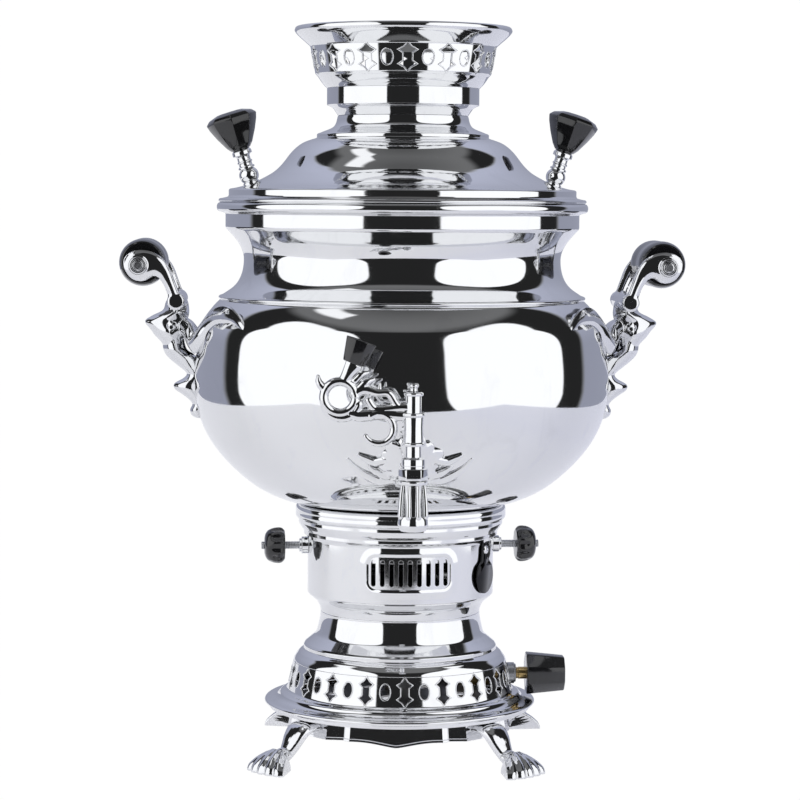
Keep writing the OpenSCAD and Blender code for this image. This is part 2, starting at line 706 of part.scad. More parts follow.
module left_clamp_boss() { clamp_boss(-90); }
module right_clamp_boss() { clamp_boss(90); }
module left_clamp_rod() { clamp_rod(-90); }
module right_clamp_rod() { clamp_rod(90); }
module left_clamp_knob() { clamp_knob(-90); }
module right_clamp_knob() { clamp_knob(90); }

// ---------- tank ----------

module tank_foot() {
    r = foot_r;
    z0 = z_rim_low;
    k = foot_h / 20;
    color("silver") turned([[floor_r, z0], [housing_r + 2.6, z0], [housing_r + 2.6, z0 + 2.4 * k], [r - 2.9, z0 + 5.4 * k, 60],
        [r - 1.9, z0 + 7.4 * k], [r - 1.9, z0 + 9.8 * k], [r - 0.8, z0 + 10.6 * k, 30],
        [r, z0 + 14.6 * k, 90], [r - 0.8, z0 + 18.6 * k, 140], [r - 4.4, z_foot], [floor_r, z_foot]]);
}

// Short tube under the foot ring that stands inside the housing and takes the clamp screws
module tank_skirt() {
    z0 = z_rim_low;
    color("silver") turned([[floor_r, z0 - skirt_h], [skirt_r, z0 - skirt_h], [skirt_r, z0], [floor_r, z0]]);
}

// Stations of the tank's wall without its beads
low_wall = [[floor_r + 0.2, z_foot], [foot_r - 4, z_foot, 0], [foot_r + 1, z_foot + 0.7, 14],
    [mix(foot_r, belly_r, 0.465), mix(z_foot, z_belly, 0.185), 38],
    [mix(foot_r, belly_r, 0.81), mix(z_foot, z_belly, 0.485), 55], [belly_r, z_belly, 90],
    [belly_r - 2.3, mix(z_belly, z_bead, 0.45), 102]];
bead_r = mix(neck_r, belly_r, 0.455);
high_wall = [[neck_r, mix(z_bead, z_collar, 0.52), 90], [collar_r - 1.5, z_collar - 2.4, 46],
    [collar_r, z_collar, 80, 90]];

function tank_core() = trace(concat(low_wall, [[bead_r, z_bead, 138]], high_wall, [[collar_r, z_rim]]));
function tank_line() = trace(concat(low_wall,
    [[bead_r + 1.8, z_bead - 2.2, 136], [bead_r + 0.9, z_bead - 1.2], [bead_r + 1.7, z_bead + 0.4, 90],
     [bead_r - 0.6, z_bead + 1.8, 160, 138]], high_wall,
    [[collar_r, z_rim - 7], [collar_r + 1.4, z_rim - 6.2], [collar_r + 4, z_rim - 5.6, 20],
     [collar_r + 5.5, z_rim - 2.9, 90], [collar_r + 4, z_rim - 0.2, 165], [collar_r + 3.4, z_rim]]));

// The tank as a solid, for seating what is fixed on its outside
module tank_form() {
    rotate_extrude($fn = smooth) polygon(concat([[0, z_foot]], tank_line(), [[0, z_rim]]));
}

bolt_r = 1.75;
bolt_levels = [z_belly - 6, z_belly + 12];
module tank_shell() {
    color("silver") difference() {
        spun(tank_line(), tank_core(), tank_wall);
        facing(0, belly_r - 30, z_shank) cylinder(r = shank_r + screw_gap, h = 40, $fn = 48);
        for (s = [-90, 90], z = bolt_levels) facing(s, belly_r - 12, z)
            cylinder(r = bolt_r + screw_gap, h = 20, $fn = 24);
    }
}

// Fire chamber and chimney in one: a flange on the tank's floor, a cone and a tube
module flue() {
    t = flue_wall;
    base = floor_r + 0.2;
    z0 = z_foot + tank_wall + 0.01;
    z_cone = z_foot + 46;
    z_end = z_lid - 6.4;
    color("silver") turned([[base, z0], [base + 5, z0], [base + 5, z0 + t], [base + t, z0 + t],
        [flue_r + 0.8, z_cone, 112], [flue_r, z_cone + 5, 90], [flue_r, z_end],
        [flue_r - t, z_end], [flue_r - t, z_cone + 5, 270], [flue_r - t + 0.8, z_cone, 292]]);
}

// ---------- handles ----------

arm_rows = [[0.5, 14, -18, 6, 5], [4, 8, -22, 6.5, 4.5], [8, 3.8, -28, 6.5, 4], [12, 2.8, -23, 6, 3.8],
    [16, 2.4, -15.5, 6.2, 3.6], [21, 2.2, -11, 6.5, 3.4], [27, 2, -10, 6.5, 3.2], [32, 1.5, -11.5, 4.4, 2.6],
    [36, 1, -15, 3.2, 2], [40, 0.6, -20, 1, 1]];
// Radius of the belly at a drop below the shoulder bead, near enough to lay an arm along it
function belly_at(drop) = belly_r - (belly_r - bead_r) * pow(max(0, 1 - drop / (shoulder_rise * 0.9)), 2);

module handle_arm(sign) {
    limb([for (row = arm_rows)
        let (drop = -row[2], r = belly_at(drop) + row[1], a = sign * row[0])
        [r * cos(a), r * sin(a), z_bead - drop, row[3], row[4]]], 12);
}

// Cheek plate seen from its side, from the grip's axis: round in front, with a tail that
// runs down to the cross bar
cheek_line = [[11.7, 0, 90], [4.2, 7.7, 166], [-0.3, 8.1, 182], [-11, 4.4, 215], [-17.2, -4.6, 246],
    [-23.9, -20.8], [-17.2, -22.6, 65], [-14.1, -10.8, 78], [-7.4, -8.1, 350], [0.6, -11.7, 330, 15],
    [9.1, -6.8, 48], [11.7, 0, 90]];
// Trunk seen from its side: [out from the belly, height from the grip's axis]. Three
// scallops of an acanthus leaf, a tongue and a curl lie in front of the belly.
trunk_line = [[14.4, -20.6, 300], [19.3, -30.4, 290, 340], [30.9, -36.7, 340, 265], [26, -45.2, 240, 215],
    [20.2, -51.4, 240, 275], [14.4, -62.6, 240], [7.3, -67.9, 215], [3.7, -71.5, 230, 350], [12.4, -78.6, 300, 235],
    [2.8, -87.2, 250], [0.8, -90.2, 235, 0], [1.8, -94.7, 260], [-1.4, -99.1, 215], [-6, -99.1], [-6, -60],
    [-1.2, -59, 45], [6.4, -46.5, 95], [2.8, -32.2, 110], [3.7, -25.1, 70], [7.7, -16.8, 55], [14.4, -20.6]];
// Half the trunk's width at heights from the grip's axis
trunk_half = [[-16, 5.5], [-24, 7.5], [-30, 10], [-36, 9.2], [-43, 11], [-51, 9], [-57, 9.6], [-66, 7], [-72, 6],
    [-80, 7], [-88, 5], [-95, 4.6], [-100, 3]];

module handle_casting() {
    gx = grip_x;
    w = belly_r;
    q = grip_reach / 31.6;
    k = cheek_r / 11.7;
    cheek_y = grip_l / 2;
    bar = [gx - 21 * q, z_grip - 23.8];
    difference() {
        union() {
            for (s = [0, 1]) mirror([0, s, 0]) {
                translate([gx, cheek_y + cheek_t, z_grip]) rotate([90, 0, 0]) linear_extrude(cheek_t)
                    polygon([for (p = trace(cheek_line)) p * k]);
                handle_arm(1);
            }
            // cross bar that joins the two cheeks
            translate([bar[0], cheek_y + cheek_t, bar[1]]) rotate([90, 0, 0])
                cylinder(r = 5.6, h = grip_l + 2 * cheek_t, $fn = 48);
            intersection() {
                translate([w, 13, z_grip]) rotate([90, 0, 0]) linear_extrude(26)
                    polygon([for (p = trace(trunk_line)) [p[0] * q, p[1]]]);
                translate([w - 20, 0, z_grip]) rotate([90, 0, 90]) linear_extrude(70)
                    polygon(concat([for (p = trunk_half) [p[1], p[0]]],
                        [for (p = flip(trunk_half)) [-p[1], p[0]]]));
            }
        }
        tank_form();
        translate([gx, 0, z_grip]) rotate([90, 0, 0])
            cylinder(r = grip_r + 0.3, h = grip_l, center = true, $fn = 64);
        translate([gx + grip_rod_dx, 0, z_grip + grip_rod_dz]) rotate([90, 0, 0])
            cylinder(r = grip_rod_r + 0.2, h = grip_l + 2 * cheek_t + 20, center = true, $fn = 32);
        for (z = bolt_levels) translate([w - 6, 0, z]) rotate([0, 90, 0])
            cylinder(r = bolt_r, h = 11, $fn = 24);
    }
}

grip_rod_dx = 2.4;
grip_rod_dz = -1.5;

module grip() {
    r = grip_r;
    h = grip_l / 2;
    color([0.09, 0.09, 0.1]) translate([grip_x, 0, z_grip]) rotate([90, 0, 0]) difference() {
        turned([[0, -h], [r - 1.4, -h], [r - 0.4, -h + 1.2, 70], [r, 0, 90], [r - 0.4, h - 1.2, 110],
            [r - 1.4, h], [0, h]]);
        translate([grip_rod_dx, grip_rod_dz, 0])
            cylinder(r = grip_rod_r + 0.2, h = grip_l + 2, center = true, $fn = 32);
    }
}

module grip_rod() {
    l = grip_l + 2 * cheek_t + 9;
    color("silver") translate([grip_x + grip_rod_dx, 0, z_grip + grip_rod_dz]) rotate([90, 0, 0])
        difference() {
            cylinder(r = grip_rod_r, h = l, center = true, $fn = 32);
            for (s = [-1, 1]) translate([0, 0, s * l / 2]) cube([0.8, 6, 2], center = true);
        }
}

module grip_nuts() {
    y = grip_l / 2 + cheek_t;
    color("silver") translate([grip_x + grip_rod_dx, 0, z_grip + grip_rod_dz]) for (s = [0, 180])
        rotate([90 + s, 0, 0]) difference() {
            union() {
                translate([0, 0, y]) cylinder(r = 6.6, h = 1, $fn = 48);
                translate([0, 0, y + 1]) cylinder(r = 5.2, h = 2.6, $fn = 6);
            }
            cylinder(r = grip_rod_r, h = y + 6, $fn = 32);
        }
}

module left_handle() { color("silver") mirror([1, 0, 0]) handle_casting(); }
module right_handle() { color("silver") handle_casting(); }
module left_grip() { mirror([1, 0, 0]) grip(); }
module right_grip() { grip(); }
module left_grip_rod() { mirror([1, 0, 0]) grip_rod(); }
module right_grip_rod() { grip_rod(); }
module left_grip_nuts() { mirror([1, 0, 0]) grip_nuts(); }
module right_grip_nuts() { grip_nuts(); }

module handle_bolts() {
    color("silver") for (s = [-90, 90], z = bolt_levels) facing(s, belly_r - 4.6, z) {
        cylinder(r = bolt_r, h = 9, $fn = 24);
        translate([0, 0, -3]) cylinder(r = 4, h = 3.1, $fn = 6);
    }
}

// ---------- tap ----------

module tap_body() {
    inner = seat_y - 10;
    color("silver") difference() {
        union() {
            translate([0, -tap_y, z_shank]) rotate([-90, 0, 0])
                cylinder(r = shank_r, h = tap_y - inner, $fn = 48);
            translate([0, -tap_y, 0]) turned([[0, spout_z + 0.4], [6.8, spout_z + 0.4], [6.8, z_shank + 0.3],
                [body_collar_r, z_shank + 0.5], [body_collar_r, z_shank + 4.2],
                [4.7, z_shank + 5.2], [4.6, key_z], [0, key_z]]);
            translate([0, -tap_y, spout_z + 0.4]) cylinder(r = 8.7, h = 7.4, $fn = 6);
        }
        translate([0, -tap_y, spout_z - 1]) cylinder(r = outlet_r - 1.2, h = 6, $fn = 48);
        translate([0, -tap_y, spout_z + 4]) cylinder(r = plug_r + run_gap, h = 60, $fn = 48);
        translate([0, -tap_y + 1, z_shank]) rotate([-90, 0, 0])
            cylinder(r = 2.2, h = tap_y, $fn = 32);
    }
}

// Rosette of eight petals laid on the slope of the belly, and the boss that rises from
// it round the shank
wall_slope = 55;
rosette_y = mix(foot_r, belly_r, 0.81) + (tap_rise - belly_rise * 0.485) / tan(wall_slope);
module tap_rosette() {
    petal = rosette_r * 0.27;
    boss = rosette_r * 0.6;
    color("silver") difference() {
        union() {
            translate([0, -rosette_y, z_shank]) rotate([180 - wall_slope, 0, 0]) {
                ring_of(8, 22.5) translate([rosette_r - petal, 0, 0.5]) sphere(r = petal, $fn = 32);
                translate([0, 0, -6]) cylinder(r = rosette_r - petal, h = 9.5, $fn = 64);
            }
            translate([0, -rosette_y - 9, z_shank]) rotate([-90, 0, 0]) turned([[0, 0], [shank_r + 1.6, 0],
                [shank_r + 2.6, 1.6, 60], [boss, 5, 40, 90], [boss, 20], [0, 20]]);
        }
        tank_form();
        translate([0, -tap_y, z_shank]) rotate([-90, 0, 0])
            cylinder(r = shank_r, h = tap_y, $fn = 48);
    }
}

module tap_gasket() {
    inside_disc(10, 1.6, 0, "dimgray");
}

module tap_nut() {
    inside_disc(9.5, 7, 1.8, "silver");
}

// A disc on the shank inside the tank, kept clear of the wall that slopes in below it
low_slope = atan2(low_wall[4][1] - low_wall[3][1], low_wall[4][0] - low_wall[3][0]);
seat_y = rosette_y - 10 / tan(low_slope) - tank_wall / sin(low_slope) - 0.2;
module inside_disc(r, h, gap, tint) {
    color(tint) translate([0, -seat_y + gap, z_shank]) rotate([-90, 0, 0]) difference() {
        cylinder(r = r, h = h, $fn = r < 10 ? 6 : 48);
        translate([0, 0, -1]) cylinder(r = shank_r, h = h + 2, $fn = 48);
    }
}

module spout() {
    z1 = spout_z + 0.4;
    z0 = z1 - cage_h - ring_h;
    color("silver") translate([0, -tap_y, 0]) difference() {
        union() {
            turned([[0, z0 + 1.4], [outlet_r + 1.4, z0, 0], [cage_r - 0.6, z0 + 2.4, 60],
                [cage_r - 0.4, z0 + ring_h * 0.7, 95], [cage_r - 1.4, z0 + ring_h, 120],
                [outlet_r + 1, z0 + ring_h], [outlet_r + 1, z1 - 2], [cage_r - 0.6, z1 - 2],
                [cage_r - 0.4, z1], [0, z1]]);
            // the fins of the cage, leaning outwards towards the ring
            ring_of(8, 22.5) rotate([90, 0, 0]) translate([0, 0, -0.9]) linear_extrude(1.8)
                polygon([[outlet_r, z0 + ring_h - 1], [cage_r, z0 + ring_h - 1],
                    [cage_r, z0 + ring_h + 3], [cage_r - 1.6, z1 - 1.6], [outlet_r, z1 - 1.6]]);
        }
        translate([0, 0, z0 - 1]) cylinder(r = outlet_r, h = cage_h + ring_h - 2, $fn = 48);
        translate([0, 0, z0 - 1]) cylinder(r = outlet_r - 1.2, h = 60, $fn = 48);
    }
}

module tap_plug() {
    color("goldenrod") translate([0, -tap_y, 0]) difference() {
        translate([0, 0, spout_z + 4.2]) cylinder(r = plug_r, h = key_z + 8 - spout_z - 4.2, $fn = 48);
        translate([0, 0, z_shank]) rotate([-90, 0, 0]) cylinder(r = 1.8, h = 20, center = true, $fn = 32);
    }
}

// Key: two barrels with collars, and the scrolled lever cast with them
module tap_key() {
    b = barrel_r;
    color("silver") translate([0, -tap_y, 0]) difference() {
        union() {
            turned([[0, key_z + run_gap], [b + 0.5, key_z + run_gap], [b + 0.7, key_z + 1.2, 90],
                [b, barrel_z], [b - 0.3, mix(barrel_z, stem_z, 0.5), 90], [b, stem_z - 2.4],
                [b + 0.8, stem_z - 1.6, 70], [b + 0.8, stem_z - 0.4, 110], [stem_r, stem_z],
                [stem_r, stem_z + stem_h], [0, stem_z + stem_h]]);
            translate([0, lever_t / 2, 0]) rotate([90, 0, 0]) linear_extrude(lever_t) lever_outline();
        }
        translate([0, 0, key_z - 1]) cylinder(r = plug_r, h = 9, $fn = 48);
    }
}

// Angle of the lever's knob from upright, and the loops' places seen from the front
knob_tilt = -19;
lever_z = stem_z + 9;
knob_foot = [-lever_reach + 8, lever_z + 19.8];
module lever_outline() {
    big = [-lever_reach, lever_z];
    small = [-lever_reach * 0.47, lever_z - 18.2];
    eye = [-lever_reach * 0.45, lever_z - 2.6];
    difference() {
        union() {
            translate(big) circle(r = loop_r, $fn = 64);
            translate(big + [1.4, -2.4]) circle(r = loop_r - 0.2, $fn = 64);
            translate(small) circle(r = 11.2, $fn = 64);
            // body between the loops and the barrel
            polygon([[big[0] + 6, big[1] - 11], [small[0] - 6, small[1] + 8], [-3, small[1] + 2],
                [-3, stem_z + 5], [-9, stem_z + 7], [eye[0] + 3, eye[1] + 7],
                [eye[0] - 3, eye[1] + 6], [big[0] + 9, big[1] + 3]]);
            // horn, comb and the seat of the knob
            polygon([big + [-9, 4], big + [-14.4, 12.6], big + [-11, 13.4], big + [-5, 9]]);
            polygon([big + [-5, 8], knob_foot + [-7, 0.6], knob_foot + [6.4, -1.6], big + [9, 5]]);
            polygon([knob_foot + [3, -4], knob_foot + [12, -6.6], knob_foot + [10, -12], big + [9, -2]]);
            polygon([eye + [-1.6, 4], eye + [-0.8, 11], eye + [1.2, 11], eye + [3.4, 4]]);
        }
        translate(big) circle(r = loop_r * 0.53, $fn = 64);
        translate(small) circle(r = 7, $fn = 64);
        translate(small + [-10, -0.6]) rotate(12) square([14, 6], center = true);
        // lens-shaped eye
        translate(eye) polygon(concat([for (x = [-6 : 1 : 6]) [x, 2.4 * (1 - x * x / 36)]],
            [for (x = [5 : -1 : -5]) [x, -2.4 * (1 - x * x / 36)]]));
    }
}

module tap_finial() {
    z0 = stem_z + stem_h;
    color("silver") translate([0, -tap_y, 0]) turned([[0, z0], [stem_r + 1, z0], [stem_r + 1.2, z0 + 1.2, 90],
        [stem_r + 0.2, z0 + 2.2], [2.4, z0 + 2.8], [2.2, z0 + 4, 90], [3, z0 + 5.6, 80], [0, z0 + 7.6, 180]]);
}

module tap_key_knob() {
    color([0.12, 0.12, 0.14]) translate([knob_foot[0], -tap_y, knob_foot[1]]) rotate([0, -knob_tilt, 0])
        difference() {
            hull() for (s = [0, 1]) translate([0, 0, s * 14]) linear_extrude(0.01)
                circle(d = mix(13, 18, s) / cos(22.5), $fn = 8);
            translate([0, 0, -1]) cube([26, lever_t + 0.4, 4], center = true);
        }
}

// ---------- lid ----------

low_lid = [[lid_plate_r, z_rim + 7.4, 90], [lid_plate_r - 1.4, z_rim + 8.7, 174],
    [mix(lid_plate_r, dome_r, 0.18), z_rim + 10.6, 165], [mix(lid_plate_r, dome_r, 0.47), mix(z_rim, z_lid, 0.325), 150],
    [mix(lid_plate_r, dome_r, 0.665), mix(z_rim, z_lid, 0.52), 126],
    [mix(lid_plate_r, dome_r, 0.82), mix(z_rim, z_lid, 0.675), 147], [dome_r + 1, mix(z_rim, z_lid, 0.74), 163]];
dome_z = mix(z_rim, z_lid, 0.74);
high_lid = [[dome_r - 4.4, dome_z + 4.5, 158], [lid_neck_r + 3.4, dome_z + 6.8, 148],
    [lid_neck_r + 0.6, mix(dome_z + 6.8, z_lid, 0.67), 100], [lid_neck_r, z_lid]];

function lid_core() = trace(concat([[lid_plate_r, z_rim - 5.8]], low_lid, high_lid));
function lid_line() = trace(concat([[lid_plate_r, z_rim - 5.8], [lid_plate_r, z_rim],
    [lid_flange_r - 0.8, z_rim], [lid_flange_r, z_rim + 1.3, 90], [lid_flange_r - 1.1, z_rim + 2.5, 174],
    [lid_plate_r + 2.6, z_rim + 3], [lid_plate_r + 0.5, z_rim + 3.6], [lid_plate_r, z_rim + 4.6]],
    low_lid, [[dome_r, dome_z + 0.6], [dome_r + 0.1, dome_z + 2, 90], [dome_r - 1.3, dome_z + 3.3, 165]],
    high_lid));

module lid_shell() {
    color("silver") difference() {
        spun(lid_line(), lid_core(), lid_wall);
        for (s = [-1, 1]) lid_knob_place(s) translate([0, 0, -12]) cylinder(r = 2.5 + screw_gap, h = 20, $fn = 32);
    }
}

lid_knob_z = z_rim + 12.2;
module lid_knob_place(s) {
    translate([s * lid_knob_x, 0, lid_knob_z]) rotate([0, s * lid_knob_lean, 0]) children();
}

module lid_stem(s) {
    l = lid_stem_l;
    color("silver") difference() {
        lid_knob_place(s) {
            turned([[0, -3], [5.2, -3], [5.2, 0.6], [4.6, 1.2, 40], [6.2, 5.2, 90], [4.3, 9.2, 140], [5.2, 9.7],
                [5.2, 10.7], [4.2, 11.3], [4.2, 13], [4.8, 13.4], [4.8, 14.2], [4.2, 14.6],
                [4.2, l * 0.78, 80], [6.2, l * 0.84, 20, 90], [6.2, l * 0.94], [5.2, l], [0, l]]);
            translate([0, 0, l - 0.1]) cylinder(r = 2.5, h = 9, $fn = 32);
            translate([0, 0, -9]) cylinder(r = 2.5, h = 8, $fn = 32);
        }
        difference() {
            rotate_extrude($fn = smooth) polygon(concat([[0, z_rim - 5.8]], lid_core(), [[0, z_lid]]));
            lid_knob_place(s) translate([0, 0, -10]) cylinder(r = 2.5, h = 12, $fn = 32);
        }
    }
}

// Eight-sided cup, upside down, with a domed top: shares of its height and radius
lid_knob_line = [[0, 0.37], [0.12, 0.52], [0.41, 0.76], [0.66, 0.93], [0.82, 1], [0.92, 0.85], [1, 0.49]];
module lid_knob(s) {
    color([0.07, 0.07, 0.08]) lid_knob_place(s) translate([0, 0, lid_stem_l]) difference() {
        for (i = [0 : len(lid_knob_line) - 2])
            let (p = lid_knob_line[i], q = lid_knob_line[i + 1])
            translate([0, 0, p[0] * lid_knob_h])
            cylinder(r1 = p[1] * lid_knob_r, r2 = q[1] * lid_knob_r, h = (q[0] - p[0]) * lid_knob_h, $fn = 8);
        translate([0, 0, -1]) cylinder(r = 2.5, h = 10, $fn = 32);
    }
}

module lid_nuts() {
    color("silver") for (s = [-1, 1]) lid_knob_place(s) difference() {
        translate([0, 0, -8.4]) cylinder(r = 4.6, h = 3, $fn = 6);
        translate([0, 0, -10]) cylinder(r = 2.5, h = 8, $fn = 32);
    }
}

module left_lid_stem() { lid_stem(-1); }
module right_lid_stem() { lid_stem(1); }
module left_lid_knob() { lid_knob(-1); }
module right_lid_knob() { lid_knob(1); }

// ---------- crown ----------

crown_skirt_r = lid_neck_r - lid_wall - 1.4;
module crown_neck() {
    b = crown_band_r;
    s = crown_skirt_r;
    z0 = z_lid;
    step = z_lid + 6.7;
    color("silver") turned([[s, z0 - 7], [s, z0], [lid_neck_r - 0.2, z0], [mix(lid_neck_r, b, 0.35), z0 + 3.9, 58],
        [b, step, 22, 90], [b, z_band], [b - crown_wall, z_band], [b - crown_wall, step + 1.2],
        [mix(s, b, 0.42), step - 2.2], [s - crown_wall, z0 + 1.2], [s - crown_wall, z0 - 7]]);
}

module crown_bowl() {
    b = crown_band_r;
    t = crown_wall;
    low = [bowl_r - 3.2, z_band + bowl_h * 0.231];
    high = [bowl_r, z_band + bowl_h * 0.67];
    lip = lip_r;
    color("silver") difference() {
        turned([[b - 9, z_band], [b, z_band], [b + 1.5, z_band + 1.4, 45],
            [bowl_r - 5, z_band + bowl_h * 0.18, 58], low, high, [bowl_r + 0.6, high[1] + 0.8],
            [mix(bowl_r, lip, 0.6), z_band + bowl_h * 0.81, 42], [lip, z_top - 3, 62],
            [lip - 0.2, z_top - 1.2, 110], [lip - 1.9, z_top, 180], [lip - 6.1, z_top],
            [lip - 6.7, z_top - 5.6, 235], [high[0] - t, high[1]], [low[0] - t, low[1]],
            [bowl_r - 6.1, z_band + bowl_h * 0.2, 238], [b + 0.4, z_band + 2.2, 225], [b - 1.6, z_band + t],
            [b - 9, z_band + t]]);
        piercings(bowl_pairs, bowl_r - 1, mix(low[1], high[1], 0.5), bowl_cross_h, 10, 9, 6.6, 8);
    }
}

// ---------- assembly ----------

stand();
leg_front_left();
leg_front_right();
leg_rear_left();
leg_rear_right();
leg_screws();
base_plate();
gallery_base();
pedestal();
burner_housing();
gas_valve_body();
valve_bushing();
hose_tail();
jet_holder();
mixing_tube();
burner_bracket();
burner_head();
burner_cap();
port_rivet();
left_clamp_boss();
right_clamp_boss();
valve_spindle();
valve_knob();
port_cover();
left_clamp_rod();
left_clamp_knob();
right_clamp_rod();
right_clamp_knob();
tank_foot();
tank_skirt();
tank_shell();
flue();
left_handle();
left_grip();
left_grip_rod();
left_grip_nuts();
right_handle();
right_grip();
right_grip_rod();
right_grip_nuts();
handle_bolts();
tap_body();
tap_rosette();
tap_gasket();
tap_nut();
spout();
tap_plug();
tap_key();
tap_finial();
tap_key_knob();
lid_shell();
left_lid_stem();
left_lid_knob();
right_lid_stem();
right_lid_knob();
lid_nuts();
crown_neck();
crown_bowl();
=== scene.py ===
import json
import math

import bmesh
import bpy
import numpy as np
from mathutils import Matrix, Vector, geometry
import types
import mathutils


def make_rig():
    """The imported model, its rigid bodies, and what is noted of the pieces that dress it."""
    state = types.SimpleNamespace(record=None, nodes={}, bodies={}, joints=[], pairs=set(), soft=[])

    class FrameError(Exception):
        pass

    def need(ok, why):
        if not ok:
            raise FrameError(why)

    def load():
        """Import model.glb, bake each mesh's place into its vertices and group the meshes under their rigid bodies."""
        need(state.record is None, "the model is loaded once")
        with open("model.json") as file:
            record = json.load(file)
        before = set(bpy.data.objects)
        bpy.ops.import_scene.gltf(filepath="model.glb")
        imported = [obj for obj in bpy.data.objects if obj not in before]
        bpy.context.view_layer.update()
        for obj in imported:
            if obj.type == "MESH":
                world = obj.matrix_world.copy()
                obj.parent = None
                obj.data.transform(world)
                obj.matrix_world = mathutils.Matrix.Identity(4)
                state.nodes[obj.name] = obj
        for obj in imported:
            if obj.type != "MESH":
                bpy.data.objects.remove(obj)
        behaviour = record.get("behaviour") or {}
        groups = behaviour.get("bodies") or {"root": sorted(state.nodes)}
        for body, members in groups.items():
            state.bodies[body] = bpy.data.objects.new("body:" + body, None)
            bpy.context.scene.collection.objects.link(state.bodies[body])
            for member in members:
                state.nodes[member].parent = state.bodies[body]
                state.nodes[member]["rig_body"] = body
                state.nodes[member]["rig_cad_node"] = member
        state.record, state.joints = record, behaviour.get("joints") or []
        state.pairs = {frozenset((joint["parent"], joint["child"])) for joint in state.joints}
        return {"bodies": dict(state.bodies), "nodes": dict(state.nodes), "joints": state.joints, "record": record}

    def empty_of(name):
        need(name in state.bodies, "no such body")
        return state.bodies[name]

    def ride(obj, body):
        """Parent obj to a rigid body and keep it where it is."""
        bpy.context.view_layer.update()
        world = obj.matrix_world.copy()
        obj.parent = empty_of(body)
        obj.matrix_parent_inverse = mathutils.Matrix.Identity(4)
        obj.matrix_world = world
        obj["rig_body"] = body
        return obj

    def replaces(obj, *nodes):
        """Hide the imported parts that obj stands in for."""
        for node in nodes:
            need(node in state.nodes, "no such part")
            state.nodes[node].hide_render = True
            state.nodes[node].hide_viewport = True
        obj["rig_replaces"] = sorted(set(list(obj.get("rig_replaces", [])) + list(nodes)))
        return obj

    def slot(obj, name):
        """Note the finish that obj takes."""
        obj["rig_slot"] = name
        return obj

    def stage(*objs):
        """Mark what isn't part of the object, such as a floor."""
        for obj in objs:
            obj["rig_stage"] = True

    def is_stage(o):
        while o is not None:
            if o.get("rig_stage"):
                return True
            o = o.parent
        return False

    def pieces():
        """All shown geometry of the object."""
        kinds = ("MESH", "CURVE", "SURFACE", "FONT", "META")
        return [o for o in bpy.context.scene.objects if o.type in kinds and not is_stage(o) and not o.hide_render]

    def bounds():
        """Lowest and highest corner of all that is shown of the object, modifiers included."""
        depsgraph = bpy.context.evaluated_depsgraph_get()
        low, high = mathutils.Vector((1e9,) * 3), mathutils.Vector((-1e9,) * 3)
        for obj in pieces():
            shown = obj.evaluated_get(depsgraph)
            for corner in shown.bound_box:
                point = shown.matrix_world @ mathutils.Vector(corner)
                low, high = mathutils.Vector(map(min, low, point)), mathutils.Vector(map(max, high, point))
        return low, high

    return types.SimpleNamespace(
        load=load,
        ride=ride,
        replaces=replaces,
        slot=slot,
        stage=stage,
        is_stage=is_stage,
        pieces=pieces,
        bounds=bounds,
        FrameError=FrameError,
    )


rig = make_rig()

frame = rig.load()


def noteSize(path, stage, sizes={}):
    # The size of everything so far, under the name of the stage
    low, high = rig.bounds()
    sizes[stage] = [list(low), list(high)]
    with open(path, "w") as out:
        json.dump(sizes, out)


noteSize("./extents.json", "frame")
print("stage: frame loaded")

# Levels and turns in millimetres and degrees, floor upwards. They repeat the construction's own sizes.
z = dict(
    flange=31.0, gallery=58.0, waist=90.0, rimLow=139.6, foot=159.6, belly=235.6,
    bead=289.6, collar=334.6, rim=349.6, lid=404.4, band=421.7, top=460.2,
)
z.update(
    clamp=z["rimLow"] - 7.6, valve=z["flange"] + 17.8, slots=z["waist"] + 31.2, rivet=z["rimLow"] - 7.0,
    shank=z["foot"] + 38.0, grip=z["bead"] + 22.2,
)
z["key"] = z["shank"] + 11.8
z["barrel"] = z["key"] + 2.3
z["stem"] = z["barrel"] + 17.0
z["spout"] = z["shank"] - 9.0
turnOf = dict(housing=3.3, stand=-4.3, port=56.0)
tapY = 152.0


def headingOf(angle):
    # (cos a, sin a)
    return np.array([math.cos(math.radians(angle)), math.sin(math.radians(angle))])


def wrapAngle(angle):
    # The same angle between -180 and 180 degrees
    return (angle + 180.0) % 360.0 - 180.0


def shifted(rows, up, out=0):
    # Rows or stations whose first two numbers are counted from `out` and `up`
    return [[out + r, up + h, *rest] for r, h, *rest in rows]


def aroundAngles(n):
    # n even steps round a circle
    return 2 * np.pi * np.arange(n) / n


def bow(p, q, fine):
    # Cubic from station p to station q. Its handles are |d - a| / (3 cos^2(turn / 4)) long.
    a, d = np.array(p[:2], float), np.array(q[:2], float)
    way = math.degrees(math.atan2(d[1] - a[1], d[0] - a[0]))
    leaving = p[3] if len(p) == 4 else p[2] if len(p) == 3 else way
    arriving = q[2] if len(q) > 2 else way
    bend = abs(wrapAngle(leaving - way)) + abs(wrapAngle(arriving - way))
    t = np.linspace(0.0, 1.0, max(1, math.ceil(bend / fine)) + 1)[:, None]
    s = 1.0 - t
    pull = np.linalg.norm(d - a) / (3.0 * math.cos(math.radians(wrapAngle(arriving - leaving) / 4)) ** 2)
    b, c = a + pull * headingOf(leaving), d - pull * headingOf(arriving)
    points = a * s**3 + 3 * b * s * s * t + 3 * c * s * t * t + d * t**3
    along = (b - a) * s * s + 2 * (c - b) * s * t + (d - c) * t * t
    return points, along / np.linalg.norm(along, axis=1, keepdims=True)


def spans(stations, fine=4.0):
    # One cubic from each station to the next. A station is r, z and the headings into it and out of it.
    return [bow(p, q, fine) for p, q in zip(stations[:-1], stations[1:])]


